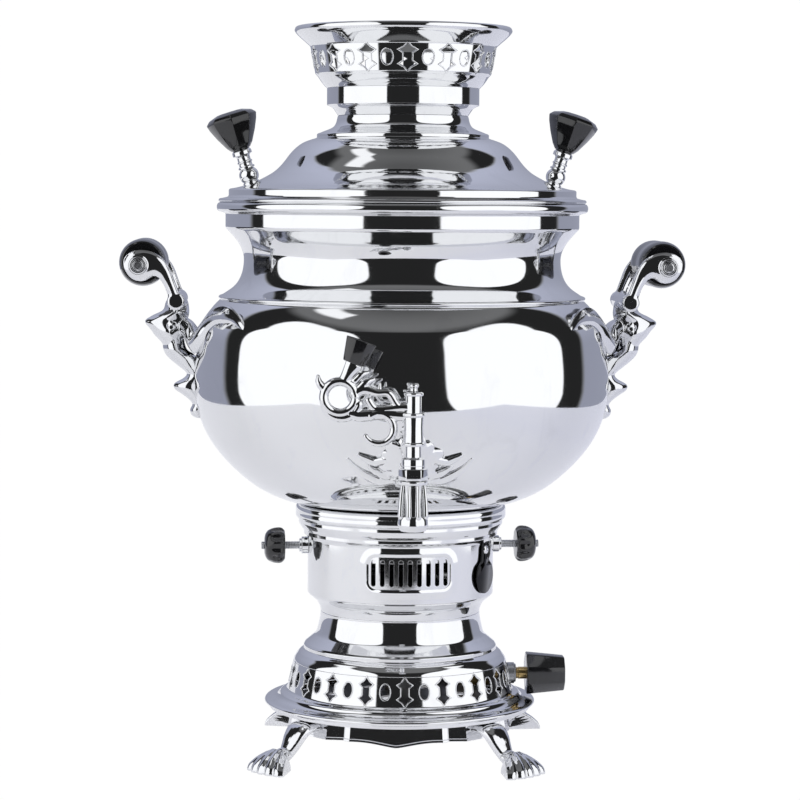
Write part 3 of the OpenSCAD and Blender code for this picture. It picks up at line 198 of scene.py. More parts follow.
def soften(parts, edge, closed):
    # Joins spans into one line. A corner is trimmed back by up to `edge` and bridged by a small arc.
    count = len(parts)
    points = [p.copy() for p, _ in parts]
    alongs = [t for _, t in parts]
    bridges = [None] * count
    for i in range(count if closed else count - 1):
        j = (i + 1) % count
        if alongs[i][-1] @ alongs[j][0] > 0.9985:
            continue
        corner = parts[i][0][-1]
        trim = min(edge, 0.4 * np.linalg.norm(parts[i][0][-1] - parts[i][0][-2]),
                   0.4 * np.linalg.norm(parts[j][0][1] - parts[j][0][0]))
        points[i][-1] = corner - alongs[i][-1] * trim
        points[j][0] = corner + alongs[j][0] * trim
        bridges[i] = corner
    line, way = [], []
    for i in range(count):
        j = (i + 1) % count
        last = len(points[i]) if (bridges[i] is not None or (not closed and i == count - 1)) else -1
        line.append(points[i][:last])
        way.append(alongs[i][:last])
        if bridges[i] is not None:
            t = np.array([0.25, 0.5, 0.75])[:, None]
            line.append(points[i][-1] * (1 - t) ** 2 + 2 * bridges[i] * t * (1 - t) + points[j][0] * t**2)
            way.append(alongs[i][-1] * (1 - t) + alongs[j][0] * t)
    line, way = np.concatenate(line), np.concatenate(way)
    way /= np.maximum(np.linalg.norm(way, axis=1, keepdims=True), 1e-9)
    return line, way


def turnedLine(stations, edge=0.3, fine=4.0):
    # A section ready to be turned: a closed loop, unless it starts on the axis
    closed = stations[0][0] > 1e-6
    loop = list(stations) + [list(stations[0][:2])] if closed else stations
    return soften(spans(loop, fine), edge, closed)


def shellLine(outer, core, wall, edge=0.3, fine=4.0):
    # Closed loop: the outer stations upwards, then the core stations set in by the wall, downwards.
    up = spans(outer, fine)
    line, way = soften(spans(core, fine), 1.5, False)
    normal = np.stack([way[:, 1], -way[:, 0]], 1)
    inner, back = (line - normal * wall)[::-1], -way[::-1]
    top, bottom = up[-1][0][-1], up[0][0][0]
    join = lambda a, b: (np.array([a, b]), np.repeat([(b - a) / np.linalg.norm(b - a)], 2, 0))
    return soften(up + [join(top, inner[0]), (inner, back), join(inner[-1], bottom)], edge, True)


def strips(low, high, count):
    # Faces with four corners, between rings of `count` corners that start at `low` and at `high`
    j = np.arange(count)
    k = (j + 1) % count
    low, high = np.array(low)[:, None], np.array(high)[:, None]
    return np.stack([low + j, low + k, high + k, high + j], 2).reshape(-1, 4)


def fans(count, rings, base, tip):
    # Faces with three corners, from the first ring to the corner `base` and from the last ring to `tip`
    j = np.arange(count)
    k = (j + 1) % count
    last = (rings - 1) * count
    return np.concatenate([np.stack([k, j, np.full(count, base)], 1),
                           np.stack([j, k, np.full(count, tip)], 1) + [last, last, 0]])


def revolve(line, way, count, skip=()):
    # point(i, j) = (r_i sin t_j, -r_i cos t_j, z_i), with t_j = 2 pi j / count
    t = aroundAngles(count)
    ring = np.stack([np.sin(t), -np.cos(t)], 1)
    normal = np.stack([way[:, 1], -way[:, 0]], 1)
    poles = line[0, 0] < 1e-6
    rows = line[1:-1] if poles else line
    rowNormal = normal[1:-1] if poles else normal
    verts = np.concatenate([rows[:, None, :1] * ring[None], np.repeat(rows[:, None, 1:], count, 1)], 2)
    normals = np.concatenate([rowNormal[:, None, :1] * ring[None], np.repeat(rowNormal[:, None, 1:], count, 1)], 2)
    verts, normals = verts.reshape(-1, 3), normals.reshape(-1, 3)
    n = len(rows)
    edges = np.array([i for i in range(n - 1 if poles else n) if i not in skip])
    quads = strips(edges * count, (edges + 1) % n * count, count)
    tris = np.zeros((0, 3), int)
    if poles:
        base, tip = len(verts), len(verts) + 1
        verts = np.concatenate([verts, [[0, 0, line[0, 1]], [0, 0, line[-1, 1]]]])
        normals = np.concatenate([normals, [[0, 0, -1], [0, 0, 1]]])
        tris = fans(count, n, base, tip)
    return verts, quads, tris, normals


def rolled(rz, t):
    # (r sin t, -r cos t, z) for each row of r and z, or for one direction at every t
    rz = np.broadcast_to(rz, (len(t), 2))
    return np.stack([rz[:, 0] * np.sin(t), -rz[:, 0] * np.cos(t), rz[:, 1]], 1)


def insidePolygon(points, loop):
    # Even-odd rule: a point is inside if a line to its right crosses the loop an odd number of times.
    a, b = loop, np.roll(loop, -1, 0)
    x, y = points[:, :1], points[:, 1:]
    crosses = (a[:, 1] > y) != (b[:, 1] > y)
    rise = np.where(b[:, 1] == a[:, 1], 1e-12, b[:, 1] - a[:, 1])
    return (crosses & (x < a[:, 0] + (y - a[:, 1]) * (b[:, 0] - a[:, 0]) / rise)).sum(1) % 2 == 1


def leftOf(loop):
    # The left normal of each edge, and that of the edge before it
    step = np.roll(loop, -1, 0) - loop
    side = np.stack([-step[:, 1], step[:, 0]], 1)
    side /= np.linalg.norm(side, axis=1, keepdims=True)
    before = np.roll(side, 1, 0)
    return side, before


def grown(loop, by):
    # Mitred offset of an anticlockwise loop: p - by (n1 + n2) / (1 + n1 . n2)
    side, before = leftOf(loop)
    return loop - by * (side + before) / (1 + (side * before).sum(1))[:, None]


def finer(loop, step):
    # Each edge cut into equal parts of about `step`
    out = []
    for a, b in zip(loop, np.roll(loop, -1, 0)):
        n = max(1, round(np.linalg.norm(b - a) / step))
        out.append(a + (b - a) * (np.arange(n) / n)[:, None])
    return np.concatenate(out)


# Pierced sheet: spacing of points along an edge, clear space beside it, how far a cut-out reaches at most from its
# middle, and how far its edge is rounded
pierced = dict(step=0.9, clear=0.7, reach=14, round=0.16)


def laid(loop, angle, middle, mean):
    # A cut-out's loop, cut finer and moved to its place on the unrolled sheet
    return finer(loop, pierced["step"]) + [math.radians(angle % 360.0) * mean, middle]


def straightBand(line, zRange):
    # the longest straight edges within zRange, one going up outside and one coming down inside
    after = np.roll(line, -1, 0)
    step = after - line
    inRange = (np.minimum(line[:, 1], after[:, 1]) > zRange[0]) & (np.maximum(line[:, 1], after[:, 1]) < zRange[1])
    return after, int(np.argmax(step[:, 1] * inRange)), int(np.argmin(step[:, 1] * inRange))


def raisedRims(line, zRange, holes, profile):
    # A ridge round each cut-out. profile: how far it lies out from the cut-out, and its height over the sheet.
    after, outside, _ = straightBand(line, zRange)
    low, high = line[outside], after[outside]
    mean = (low[0] + high[0]) / 2
    d = (high - low) / np.linalg.norm(high - low)
    verts, quads, base = [], [], 0
    for angle, middle, loop in holes:
        flat = finer(loop, pierced["step"])
        m, n = len(flat), len(profile)
        for by, lift in profile:
            at = grown(flat, by) + [math.radians(angle % 360.0) * mean, middle]
            share = ((at[:, 1] - low[1]) / (high[1] - low[1]))[:, None]
            verts.append(rolled(low + (high - low) * share + lift * np.array([d[1], -d[0]]), at[:, 0] / mean))
        j = np.arange(m)
        k = (j + 1) % m
        for i in range(n):
            a, b = base + i * m, base + (i + 1) % n * m
            quads.append(np.stack([a + j, b + j, b + k, a + k], 1))
        base += m * n
    return np.concatenate(verts), np.concatenate(quads), np.zeros((0, 3), int), None


def piercedRevolve(line, way, zRange, holes, rows, count=252):
    # The straight band in zRange is unrolled, outside and inside, pierced and rolled up again. Its `rows` of grid
    # points and the cut-outs' loops are triangulated together, and each loop's edge is rounded over the wall.
    after, outside, inside = straightBand(line, zRange)
    verts, quads, tris, normals = revolve(line, way, count, (outside, inside))
    lowOut, highOut, highIn, lowIn = line[outside], after[outside], line[inside], after[inside]
    mean = (lowOut[0] + highOut[0]) / 2
    across = 2 * np.pi * mean
    edge = pierced["round"]
    zs = np.linspace(lowOut[1], highOut[1], rows + 1)
    xs = across * np.arange(count + 1) / count
    bottom = np.stack([xs, np.full(count + 1, zs[0])], 1)
    top = np.stack([xs, np.full(count + 1, zs[-1])], 1)
    left = np.stack([np.zeros(rows - 1), zs[1:-1]], 1)
    right = left + [across, 0]
    gx, gz = np.meshgrid(xs[1:-1], zs[1:-1])
    grid = np.stack([gx.ravel(), gz.ravel()], 1)
    loops = []
    for angle, height, loop in holes:
        at = laid(loop, angle, height, mean)
        loops.append((at, grown(at, edge)))
        near = np.abs(grid[:, 0] - at[:, 0].mean()) < pierced["reach"]
        blocked = np.zeros(len(grid), bool)
        blocked[near] = insidePolygon(grid[near], grown(at, edge + pierced["clear"]))
        grid = grid[~blocked]
    ends = np.cumsum([0, len(bottom), len(top), len(left), len(right), len(grid)] + [len(o) for _, o in loops])
    flat = np.concatenate([bottom, top, left, right, grid] + [o for _, o in loops])
    border = [(i, i + 1) for i in range(count)] + [(ends[1] + i, ends[1] + i + 1) for i in range(count)]
    for start, stop in zip(ends[5:-1], ends[6:]):
        border += [(start + i, start + (i + 1) % (stop - start)) for i in range(stop - start)]
    outVerts, _, faces, origin, _, _ = geometry.delaunay_2d_cdt([Vector(p) for p in flat], border, [], 0, 1e-6)
    at = np.array([tuple(v) for v in outVerts])
    faces = np.array(faces)
    where = np.full(len(flat), -1)
    for i, source in enumerate(origin):
        where[source] = i
    middle = at[faces].mean(1)
    keep = np.ones(len(faces), bool)
    for _, loop in loops:
        near = np.abs(middle[:, 0] - loop[:, 0].mean()) < pierced["reach"]
        keep[near] &= ~insidePolygon(middle[near], loop)
    faces = faces[keep]
    # the last column is the first one again
    same = np.arange(len(at))
    same[where[ends[3]:ends[4]]] = where[ends[2]:ends[3]]
    t = at[:, 0] / mean
    share = lambda points: ((points[:, 1] - zs[0]) / (zs[-1] - zs[0]))[:, None]
    maps = []
    for low, high, sign, rowLow, rowHigh in ((lowOut, highOut, 1, outside, (outside + 1) % len(line)),
                                             (lowIn, highIn, -1, (inside + 1) % len(line), inside)):
        index = len(verts) + same
        ringAt = np.arange(count + 1) % count
        index[where[0:ends[1]]] = rowLow * count + ringAt
        index[where[ends[1]:ends[2]]] = rowHigh * count + ringAt
        d = (high - low) / np.linalg.norm(high - low)
        verts = np.concatenate([verts, rolled(low + (high - low) * share(at), t)])
        normals = np.concatenate([normals, rolled(sign * np.array([d[1], -d[0]]), t)])
        tris = np.concatenate([tris, index[faces][:, ::sign]])
        maps.append(index)
    d = (highOut - lowOut) / np.linalg.norm(highOut - lowOut)
    outward = np.array([d[1], -d[0]])
    wall = abs((lowOut - lowIn) @ outward)
    for (loop, _), start, stop in zip(loops, ends[5:-1], ends[6:]):
        angle = loop[:, 0] / mean
        onTop = rolled(lowOut + (highOut - lowOut) * share(loop), angle)
        out = rolled(outward, angle)
        side, before = leftOf(loop)
        turn = (side + before) / np.linalg.norm(side + before, axis=1, keepdims=True)
        around = np.stack([np.cos(angle), np.sin(angle), np.zeros(len(angle))], 1)
        facingHole = turn[:, :1] * around + turn[:, 1:] * rolled(d, angle)
        first, m = len(verts), stop - start
        verts = np.concatenate([verts, onTop - out * edge, onTop - out * (wall - edge)])
        normals = np.concatenate([normals, facingHole, facingHole])
        rings = [maps[0][where[start:stop]], first + np.arange(m), first + m + np.arange(m), maps[1][where[start:stop]]]
        for a, b in zip(rings[:-1], rings[1:]):
            quads = np.concatenate([quads, np.stack([a, np.roll(a, -1), np.roll(b, -1), b], 1)])
    return verts, quads, tris, normals


def placed(geo, origin=(0, 0, 0), axis=(0, 0, 1), spin=0.0):
    # Turns +Z to `axis`, spun about it by `spin` degrees, and moves it to `origin`.
    swing = Vector((0, 0, 1)).rotation_difference(Vector(axis)).to_matrix()
    turn = np.array(swing @ Matrix.Rotation(math.radians(spin), 3, "Z"))
    verts, quads, tris, normals = geo
    return verts @ turn.T + np.array(origin), quads, tris, None if normals is None else normals @ turn.T


def turnedAbout(geo, angle):
    # Turned by `angle` degrees about the upright axis
    return placed(geo, spin=angle)


def mirrored(geo):
    # x to -x, with the corners of each face in reverse order
    verts, quads, tris, normals = geo
    flip = np.array([-1, 1, 1])
    return verts * flip, quads[:, ::-1], tris[:, ::-1], None if normals is None else normals * flip


def facingDir(angle):
    # (sin a, -cos a, 0): 0 faces the front and 90 faces +X
    return np.array([math.sin(math.radians(angle)), -math.cos(math.radians(angle)), 0.0])


def joined(parts):
    # Several meshes as one, each counting its corners on from those before it
    verts, quads, tris, normals, base = [], [], [], [], 0
    for v, q, t, n in parts:
        verts.append(v)
        quads.append(q + base)
        tris.append(t + base)
        normals.append(n)
        base += len(v)
    whole = None if any(n is None for n in normals) else np.concatenate(normals)
    return np.concatenate(verts), np.concatenate(quads), np.concatenate(tris), whole


def linked(name, data):
    # A new object in the scene
    obj = bpy.data.objects.new(name, data)
    bpy.context.scene.collection.objects.link(obj)
    return obj


def meshObject(name, geo):
    # Corners in millimetres become a smooth mesh in metres, with its own normals if they are known
    verts, quads, tris, normals = geo
    mesh = bpy.data.meshes.new(name)
    mesh.vertices.add(len(verts))
    mesh.vertices.foreach_set("co", (np.asarray(verts, float) * 0.001).ravel())
    loops = np.concatenate([quads.ravel(), tris.ravel()]).astype(np.int32)
    sizes = np.concatenate([np.full(len(quads), 4), np.full(len(tris), 3)])
    mesh.loops.add(len(loops))
    mesh.loops.foreach_set("vertex_index", loops)
    mesh.polygons.add(len(sizes))
    mesh.polygons.foreach_set("loop_start", (np.cumsum(sizes) - sizes).astype(np.int32))
    mesh.polygons.foreach_set("use_smooth", np.ones(len(sizes), bool))
    mesh.update(calc_edges=True)
    if normals is not None:
        mesh.normals_split_custom_set_from_vertices(normals.tolist())
    return linked(name, mesh)


def fused(name, parts, voxel, smooth, keep=0.53):
    # One skin round overlapping closed shapes: a voxel remesh, then rounds of smoothing that shrink and grow again.
    rough = meshObject(name + "Rough", joined([(v, q, t, None) for v, q, t, _ in parts]))
    remesh = rough.modifiers.new("remesh", "REMESH")
    remesh.mode = "VOXEL"
    remesh.voxel_size = voxel * 0.001
    made = bpy.data.meshes.new_from_object(rough.evaluated_get(bpy.context.evaluated_depsgraph_get()))
    bpy.data.objects.remove(rough)
    count = len(made.vertices)
    at = np.empty(count * 3)
    made.vertices.foreach_get("co", at)
    at = at.reshape(-1, 3)
    ends = np.empty(len(made.edges) * 2, np.int32)
    made.edges.foreach_get("vertices", ends)
    a, b = ends[::2], ends[1::2]
    share = np.maximum(np.bincount(ends, minlength=count), 1)[:, None]
    for i in range(smooth * 2):
        total = np.stack([np.bincount(a, at[b, k], count) + np.bincount(b, at[a, k], count) for k in range(3)], 1)
        at = at + (total / share - at) * (0.5 if i % 2 == 0 else -keep)
    made.vertices.foreach_set("co", at.ravel())
    made.polygons.foreach_set("use_smooth", np.ones(len(made.polygons), bool))
    made.update()
    made.name = name
    return linked(name, made)


def alongRows(rows, steps):
    # Catmull-Rom through the rows, centripetal enough for rows at even distances
    rows = np.array(rows, float)
    padded = np.concatenate([[2 * rows[0] - rows[1]], rows, [2 * rows[-1] - rows[-2]]])
    t = (np.arange(steps) / steps)[:, None]
    out = []
    for i in range(len(rows) - 1):
        p0, p1, p2, p3 = padded[i:i + 4]
        out.append(0.5 * (2 * p1 + (p2 - p0) * t + (2 * p0 - 5 * p1 + 4 * p2 - p3) * t**2
                          + (3 * p1 - p0 - 3 * p2 + p3) * t**3))
    return np.concatenate(out + [rows[-1:]])


def loft(loops, tips=None):
    # Closed skin over rings of equal point counts, with a fan over each end from its middle or from its tip
    loops = np.array(loops, float)
    n, sides = loops.shape[:2]
    if tips is None:
        tips = np.concatenate([loops[:1].mean(1), loops[-1:].mean(1)])
    verts = np.concatenate([loops.reshape(-1, 3), tips])
    starts = np.arange(n) * sides
    return verts, strips(starts[:-1], starts[1:], sides), fans(sides, n, n * sides, n * sides + 1), None


def limb(rows, sides, steps, out=None, ribs=0, ribDepth=0.0, square=1.0, flare=0.0):
    # rows: x, y, z, half width, half thickness. The section is an oval whose thickness lies along `out`, or away
    # from the vertical axis; it gets squarer with `square` below 1 and wider outside with `flare`. Both ends are
    # rounded off.
    line = alongRows(rows, steps)
    at, wide, thick = line[:, :3], np.maximum(line[:, 3], 0.15), np.maximum(line[:, 4], 0.15)
    way = np.gradient(at, axis=0)
    way /= np.linalg.norm(way, axis=1, keepdims=True)
    away = np.tile(out, (len(at), 1)).astype(float) if out is not None else at * [1, 1, 0]
    across = np.cross(way, away)
    across /= np.linalg.norm(across, axis=1, keepdims=True)
    outward = np.cross(way, across)
    capped = [(0, -0.7, 0.55), (0, -0.45, 0.85)] + [(i, 0.0, 1.0) for i in range(len(at))]
    capped += [(len(at) - 1, 0.45, 0.85), (len(at) - 1, 0.7, 0.55)]
    pick = np.array([c[0] for c in capped])
    shift = np.array([c[1] for c in capped])[:, None] * np.minimum(wide, thick)[pick][:, None]
    size = np.array([c[2] for c in capped])[:, None]
    a = aroundAngles(sides)
    bulge = 1 + ribDepth * np.cos(a * ribs) if ribs else np.ones(sides)
    x = wide[pick][:, None] * size * np.sign(np.cos(a)) * np.abs(np.cos(a)) ** square * bulge * (1 + flare * np.sin(a))
    y = thick[pick][:, None] * size * np.sign(np.sin(a)) * np.abs(np.sin(a)) ** square * bulge
    centre = at[pick] + way[pick] * shift
    verts = centre[:, None] + x[..., None] * across[pick][:, None] + y[..., None] * outward[pick][:, None]
    tips = np.array([centre[0] - way[0] * 0.25 * shift.max(), centre[-1] + way[-1] * 0.25 * shift.max()])
    return loft(verts, tips)


def ringLimb(centre, radius, half, thick, start, stop, out, taper, steps=40):
    # An arc of a ring in the plane square to `out`, drawn as a limb
    x, y = np.array([1.0, 0, 0]), np.array([0, 0, 1.0])
    a = np.radians(np.linspace(start, stop, steps))
    size = np.linspace(taper[0], taper[1], steps)
    at = np.array(centre) + radius * (np.cos(a)[:, None] * x + np.sin(a)[:, None] * y)
    return limb(np.column_stack([at, half * size, thick * size]), 16, 1, out)


def bevelled(name, geo, width, segments=3):
    # A faceted block with every edge rounded
    obj = meshObject(name, geo)
    shape = bmesh.new()
    shape.from_mesh(obj.data)
    bmesh.ops.bevel(shape, geom=list(shape.edges), offset=width * 0.001, segments=segments, profile=0.5,
                    affect="EDGES", clamp_overlap=True)
    shape.to_mesh(obj.data)
    shape.free()
    obj.data.polygons.foreach_set("use_smooth", np.ones(len(obj.data.polygons), bool))
    return obj


# The slot of each look, for a piece that names no other
slotOf = dict(
    chromeSpun="chrome", chromeCast="chrome_cast", chromeTap="chrome_cast", screwSteel="steel", valveBrass="brass",
    bushingZinc="zinc_grey", coverBlued="blued_steel", bakeliteBlack="bakelite", bakeliteGrip="bakelite")


def own(obj, look, body, node="", slot=""):
    # The piece's look, the body it rides on, the node it stands for and its slot
    obj.data.materials.clear()
    obj.data.materials.append(look)
    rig.ride(obj, body)
    if node:
        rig.replaces(obj, node)
    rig.slot(obj, slot or slotOf[look.name])
    return obj


def feed(tree, socket, value):
    # A socket takes a wire or a plain value
    if isinstance(value, Wire):
        tree.links.new(value.socket, socket)
    elif value is not None:
        socket.default_value = value


class Wire:
    # A socket to reckon with: each operator adds one maths node
    def __init__(self, tree, socket):
        self.tree, self.socket = tree, socket

    def maths(self, kind, *others, swap=False):
        # kind(self, others), or kind(others, self) if swapped
        made = self.tree.nodes.new("ShaderNodeMath")
        made.operation = kind
        order = [self, *others]
        for i, value in enumerate(order[::-1] if swap else order):
            feed(self.tree, made.inputs[i], value)
        return Wire(self.tree, made.outputs[0])

    def __add__(self, other): return self.maths("ADD", other)
    def __radd__(self, other): return self.maths("ADD", other)
    def __sub__(self, other): return self.maths("SUBTRACT", other)
    def __rsub__(self, other): return self.maths("SUBTRACT", other, swap=True)
    def __mul__(self, other): return self.maths("MULTIPLY", other)
    def __rmul__(self, other): return self.maths("MULTIPLY", other)
    def __truediv__(self, other): return self.maths("DIVIDE", other)
    def __pow__(self, other): return self.maths("POWER", other)

    def between(self, low, high, start=0.0, stop=1.0, smooth=True):
        # start + (stop - start) s(t), t = (value - low) / (high - low) from 0 to 1, s(t) = 3 t^2 - 2 t^3 or t
        made = self.tree.nodes.new("ShaderNodeMapRange")
        made.interpolation_type = "SMOOTHSTEP" if smooth else "LINEAR"
        for i, value in enumerate((self, low, high, start, stop)):
            feed(self.tree, made.inputs[i], value)
        return Wire(self.tree, made.outputs["Result"])


class Look:
    # A material, or the world, with its node tree and its output node
    def __init__(self, name, world=False):
        self.owner = bpy.data.worlds.new(name) if world else bpy.data.materials.new(name)
        self.owner.use_nodes = True
        self.tree = self.owner.node_tree
        self.tree.nodes.clear()
        kind = "ShaderNodeOutputWorld" if world else "ShaderNodeOutputMaterial"
        self.end = self.tree.nodes.new(kind)

    def node(self, kind, output=0, inputs=(), **settings):
        # Any node, with its settings and inputs, as the wire of one of its outputs
        made = self.tree.nodes.new("ShaderNode" + kind)
        for key, value in settings.items():
            setattr(made, key, value)
        for key, value in dict(inputs).items():
            feed(self.tree, made.inputs[key], value)
        return Wire(self.tree, made.outputs[output])

    def place(self):
        # The position in metres
        return self.node("TexCoord", "Object")

    def axes(self, vector):
        # x, y and z as three wires
        made = self.tree.nodes.new("ShaderNodeSeparateXYZ")
        feed(self.tree, made.inputs[0], vector)
        return [Wire(self.tree, made.outputs[i]) for i in range(3)]

    def vector(self, x, y, z):
        # One wire from x, y and z
        return self.node("CombineXYZ", 0, {0: x, 1: y, 2: z})

    def noise(self, where, scale, detail=2.0, rough=0.5, warp=0.0):
        # Cloudy noise from 0 to 1, `scale` lumps a metre
        return self.node("TexNoise", "Fac", {"Vector": where, "Scale": scale, "Detail": detail,
                                             "Roughness": rough, "Distortion": warp})

    def bump(self, height, distance, before=None):
        # The normal of a relief `height` times `distance` metres high
        return self.node("Bump", "Normal", {"Height": height, "Distance": distance, "Strength": 1.0, "Normal": before})

    def blend(self, share, a, b):
        # (1 - share) a + share b
        return self.node("Mix", 2, {"Factor": share, 6: a, 7: b}, data_type="RGBA")

    def ended(self, wire):
        # The wire goes to the output
        self.tree.links.new(wire.socket, self.end.inputs["Surface"])
        return self.owner

    def surface(self, **sockets):
        # The surface shader, its sockets named with _ for a space
        return self.ended(self.node("BsdfPrincipled", 0, {k.replace("_", " "): v for k, v in sockets.items()}))


# Plated metal. waves are the slow hollows left by spinning and polishing, lines the fine turned marks.
plating = dict(tint=(0.80, 0.805, 0.815, 1), shine=0.035, smudge=0.10, waves=0.00006, lines=0.0000012)


def plated(name, pits=0.0, axis=(0.0, 0.0), **changes):
    # height = waves (slow + 0.1 middling) + lines (turned + speck (0.2 + pits)), turned round the axis
    look, values = Look(name), dict(plating, **changes)
    where = look.place()
    x, y, z = look.axes(where)
    around = (x - axis[0]).maths("ARCTAN2", (y - axis[1]))
    slow = look.noise(where, 22.0, 1.0)
    middling = look.noise(look.vector(x, y, z * 2.2), 95.0, 2.0)
    turned = look.noise(look.vector(around * 0.012, 0.0, z * 1.0), 2600.0, 2.0, 0.6)
    speck = look.noise(where, 1500.0, 2.0, 0.6)
    smear = look.noise(look.vector(x, y, z * 0.5), 38.0, 4.0, 0.62, 1.1).between(0.52, 0.75)
    normal = look.bump(slow + middling * 0.10, values["waves"])
    normal = look.bump(turned + speck * (0.2 + pits), values["lines"], normal)
    dull = tuple(c * 0.93 for c in values["tint"][:3]) + (1,)
    return look.surface(
        Base_Color=look.blend(smear * 0.7, values["tint"], dull), Metallic=1.0,
        Roughness=values["shine"] + smear * values["smudge"] * 0.5 + turned * 0.012 + speck * 0.015, Normal=normal)


def bakelite(name, tint=(0.010, 0.010, 0.011, 1), shine=0.16):
    # Black moulding: a clear coat over fine and broad noise, paler and rougher where it is worn
    look = Look(name)
    where = look.place()
    fine = look.noise(where, 900.0, 3.0, 0.6)
    broad = look.noise(where, 90.0, 3.0, 0.6)
    wear = look.noise(where, 260.0, 4.0, 0.7).between(0.58, 0.72)
    return look.surface(
        Base_Color=look.blend(wear * 0.5, tint, (0.03, 0.03, 0.032, 1)), Metallic=0.0,
        Roughness=shine + fine * 0.03 + broad * 0.04 + wear * 0.06, IOR=1.55,
        Coat_Weight=0.35, Coat_Roughness=0.08,
        Normal=look.bump(fine * 0.25 + broad, 0.00005))


def plainMetal(name, tint, rough, grain=420.0, depth=0.00002, metal=1.0):
    # One tint with darker stains; rough + 0.12 fine + 0.1 stain
    look = Look(name)
    where = look.place()
    fine = look.noise(where, grain, 4.0, 0.6)
    stain = look.noise(where, 60.0, 4.0, 0.6).between(0.45, 0.75)
    dark = tuple(c * 0.6 for c in tint[:3]) + (1,)
    return look.surface(Base_Color=look.blend(stain * 0.8, tint, dark), Metallic=metal,
                        Roughness=rough + fine * 0.12 + stain * 0.1, Normal=look.bump(fine, depth))


chrome = plated("chromeSpun")
chromeCast = plated("chromeCast", tint=(0.78, 0.785, 0.80, 1), shine=0.05, waves=0.00012, lines=0.000004, pits=0.6)
chromeTap = plated("chromeTap", tint=(0.79, 0.795, 0.805, 1), shine=0.045, waves=0.00004, lines=0.000002,
                   axis=(0.0, -0.152))
steel = plainMetal("screwSteel", (0.55, 0.56, 0.58, 1), 0.22)
insideSteel = plainMetal("sheetSteel", (0.42, 0.42, 0.42, 1), 0.32)
brass = plainMetal("valveBrass", (0.62, 0.45, 0.20, 1), 0.24)
zincGrey = plainMetal("bushingZinc", (0.40, 0.41, 0.43, 1), 0.30)
castIron = plainMetal("burnerIron", (0.05, 0.05, 0.05, 1), 0.62, 300.0, 0.0001, 0.6)
bluedSteel = plated("coverBlued", tint=(0.03, 0.03, 0.033, 1), shine=0.06, waves=0.00004)
black = bakelite("bakeliteBlack", shine=0.08)
gripBlack = bakelite("bakeliteGrip", (0.008, 0.008, 0.009, 1), 0.03)
rubber = plainMetal("gasketRubber", (0.02, 0.02, 0.02, 1), 0.7, 500.0, 0.00005, 0.0)
print("stage: looks made")

# Rolled and spun sheet: its edge radius and walls, the main radii, and how many columns go round a shell
sheet = dict(edge=0.35, columns=240, tankWall=1.0, wall=0.9)
radiusOf = dict(belly=131.5, neck=100.3, rim=111.9, lidSeat=109.9, housing=59.2, waist=50.8)


def turnedPiece(name, stations, look, body, node, columns, edge=0.3, at=None, slot=""):
    # A section turned about the upright axis, or placed by the origin and the axis in `at`
    geo = revolve(*turnedLine(stations, edge), columns)
    return own(meshObject(name, placed(geo, *at) if at else geo), look, body, node, slot)


def piercedPiece(names, line, way, zRange, holes, ridges, profile, rows, turn, body, node):
    # The pierced shell and the ridges pressed into it, both turned into place
    shell, ridge = piercedRevolve(line, way, zRange, holes, rows), raisedRims(line, zRange, ridges, profile)
    own(meshObject(names[0], turnedAbout(shell, turn)), chrome, body, node)
    own(meshObject(names[1], turnedAbout(ridge, turn)), chrome, body)


bellyR, neckR, rimR = radiusOf["belly"], radiusOf["neck"], radiusOf["rim"]
wallCore = shifted([[56.6, 0], [62.9, 0, 0], [67.9, 0.7, 14]], z["foot"]) + [
    [96.94, 173.66, 38], [119.23, 196.46, 55], [bellyR, z["belly"], 90], [130.0, 258.0, 97], [125.9, 274.5, 119]]
beadR = neckR + (bellyR - neckR) * 0.455
neckWall = [[104.6, 298.8, 126], [neckR, 314.0, 90], [110.4, z["collar"] - 2.4, 46], [rimR, z["collar"], 80, 90]]
beadLine = [[beadR + 1.8, -2.2, 138], [beadR + 0.9, -1.2], [beadR + 1.7, 0.4, 90], [beadR - 0.6, 1.8, 160, 146]]
rimLine = [[rimR, -7], [113.3, -6.2], [115.9, -5.6, 20], [117.4, -2.9, 90], [115.9, -0.2, 165], [115.3, 0]]
tankOuter = wallCore + shifted(beadLine, z["bead"]) + neckWall + shifted(rimLine, z["rim"])
tankCore = wallCore + [[beadR, z["bead"], 138]] + neckWall + [[rimR, z["rim"]]]
tankLine = shellLine(tankOuter, tankCore, sheet["tankWall"], sheet["edge"], 3.0)
own(meshObject("tankWall", revolve(*tankLine, sheet["columns"])), chrome, "tank", "tank_shell")

housingR = radiusOf["housing"]
skirtR, footTop, footLow = 57.7, z["foot"], z["rimLow"]
turnedPiece("tankSkirt", [[56.4, 127.0], [skirtR, 127.0], [skirtR, footLow], [56.4, footLow]], chrome, "tank",
            "tank_skirt", 160, 0.25)
turnedPiece("tankFootRing", [
    [56.4, footLow], [61.8, footLow], [61.8, 142.0], [64.0, 145.0, 60], [65.0, 147.0], [65.0, 149.4], [66.1, 150.2, 30],
    [66.9, 154.2, 90], [66.1, 158.2, 140], [62.5, footTop], [56.4, footTop]], chrome, "tank", "tank_foot", 200)
turnedPiece("flueTube", [
    [56.6, 160.61], [61.6, 160.61], [61.6, 161.81], [57.8, 161.81], [36.8, 205.6, 112], [36.0, 210.6, 90],
    [36.0, 398.0], [34.8, 398.0], [34.8, 210.6, 270], [35.6, 205.6, 292]], insideSteel, "tank", "flue", 128, 0.2,
    slot="chrome")

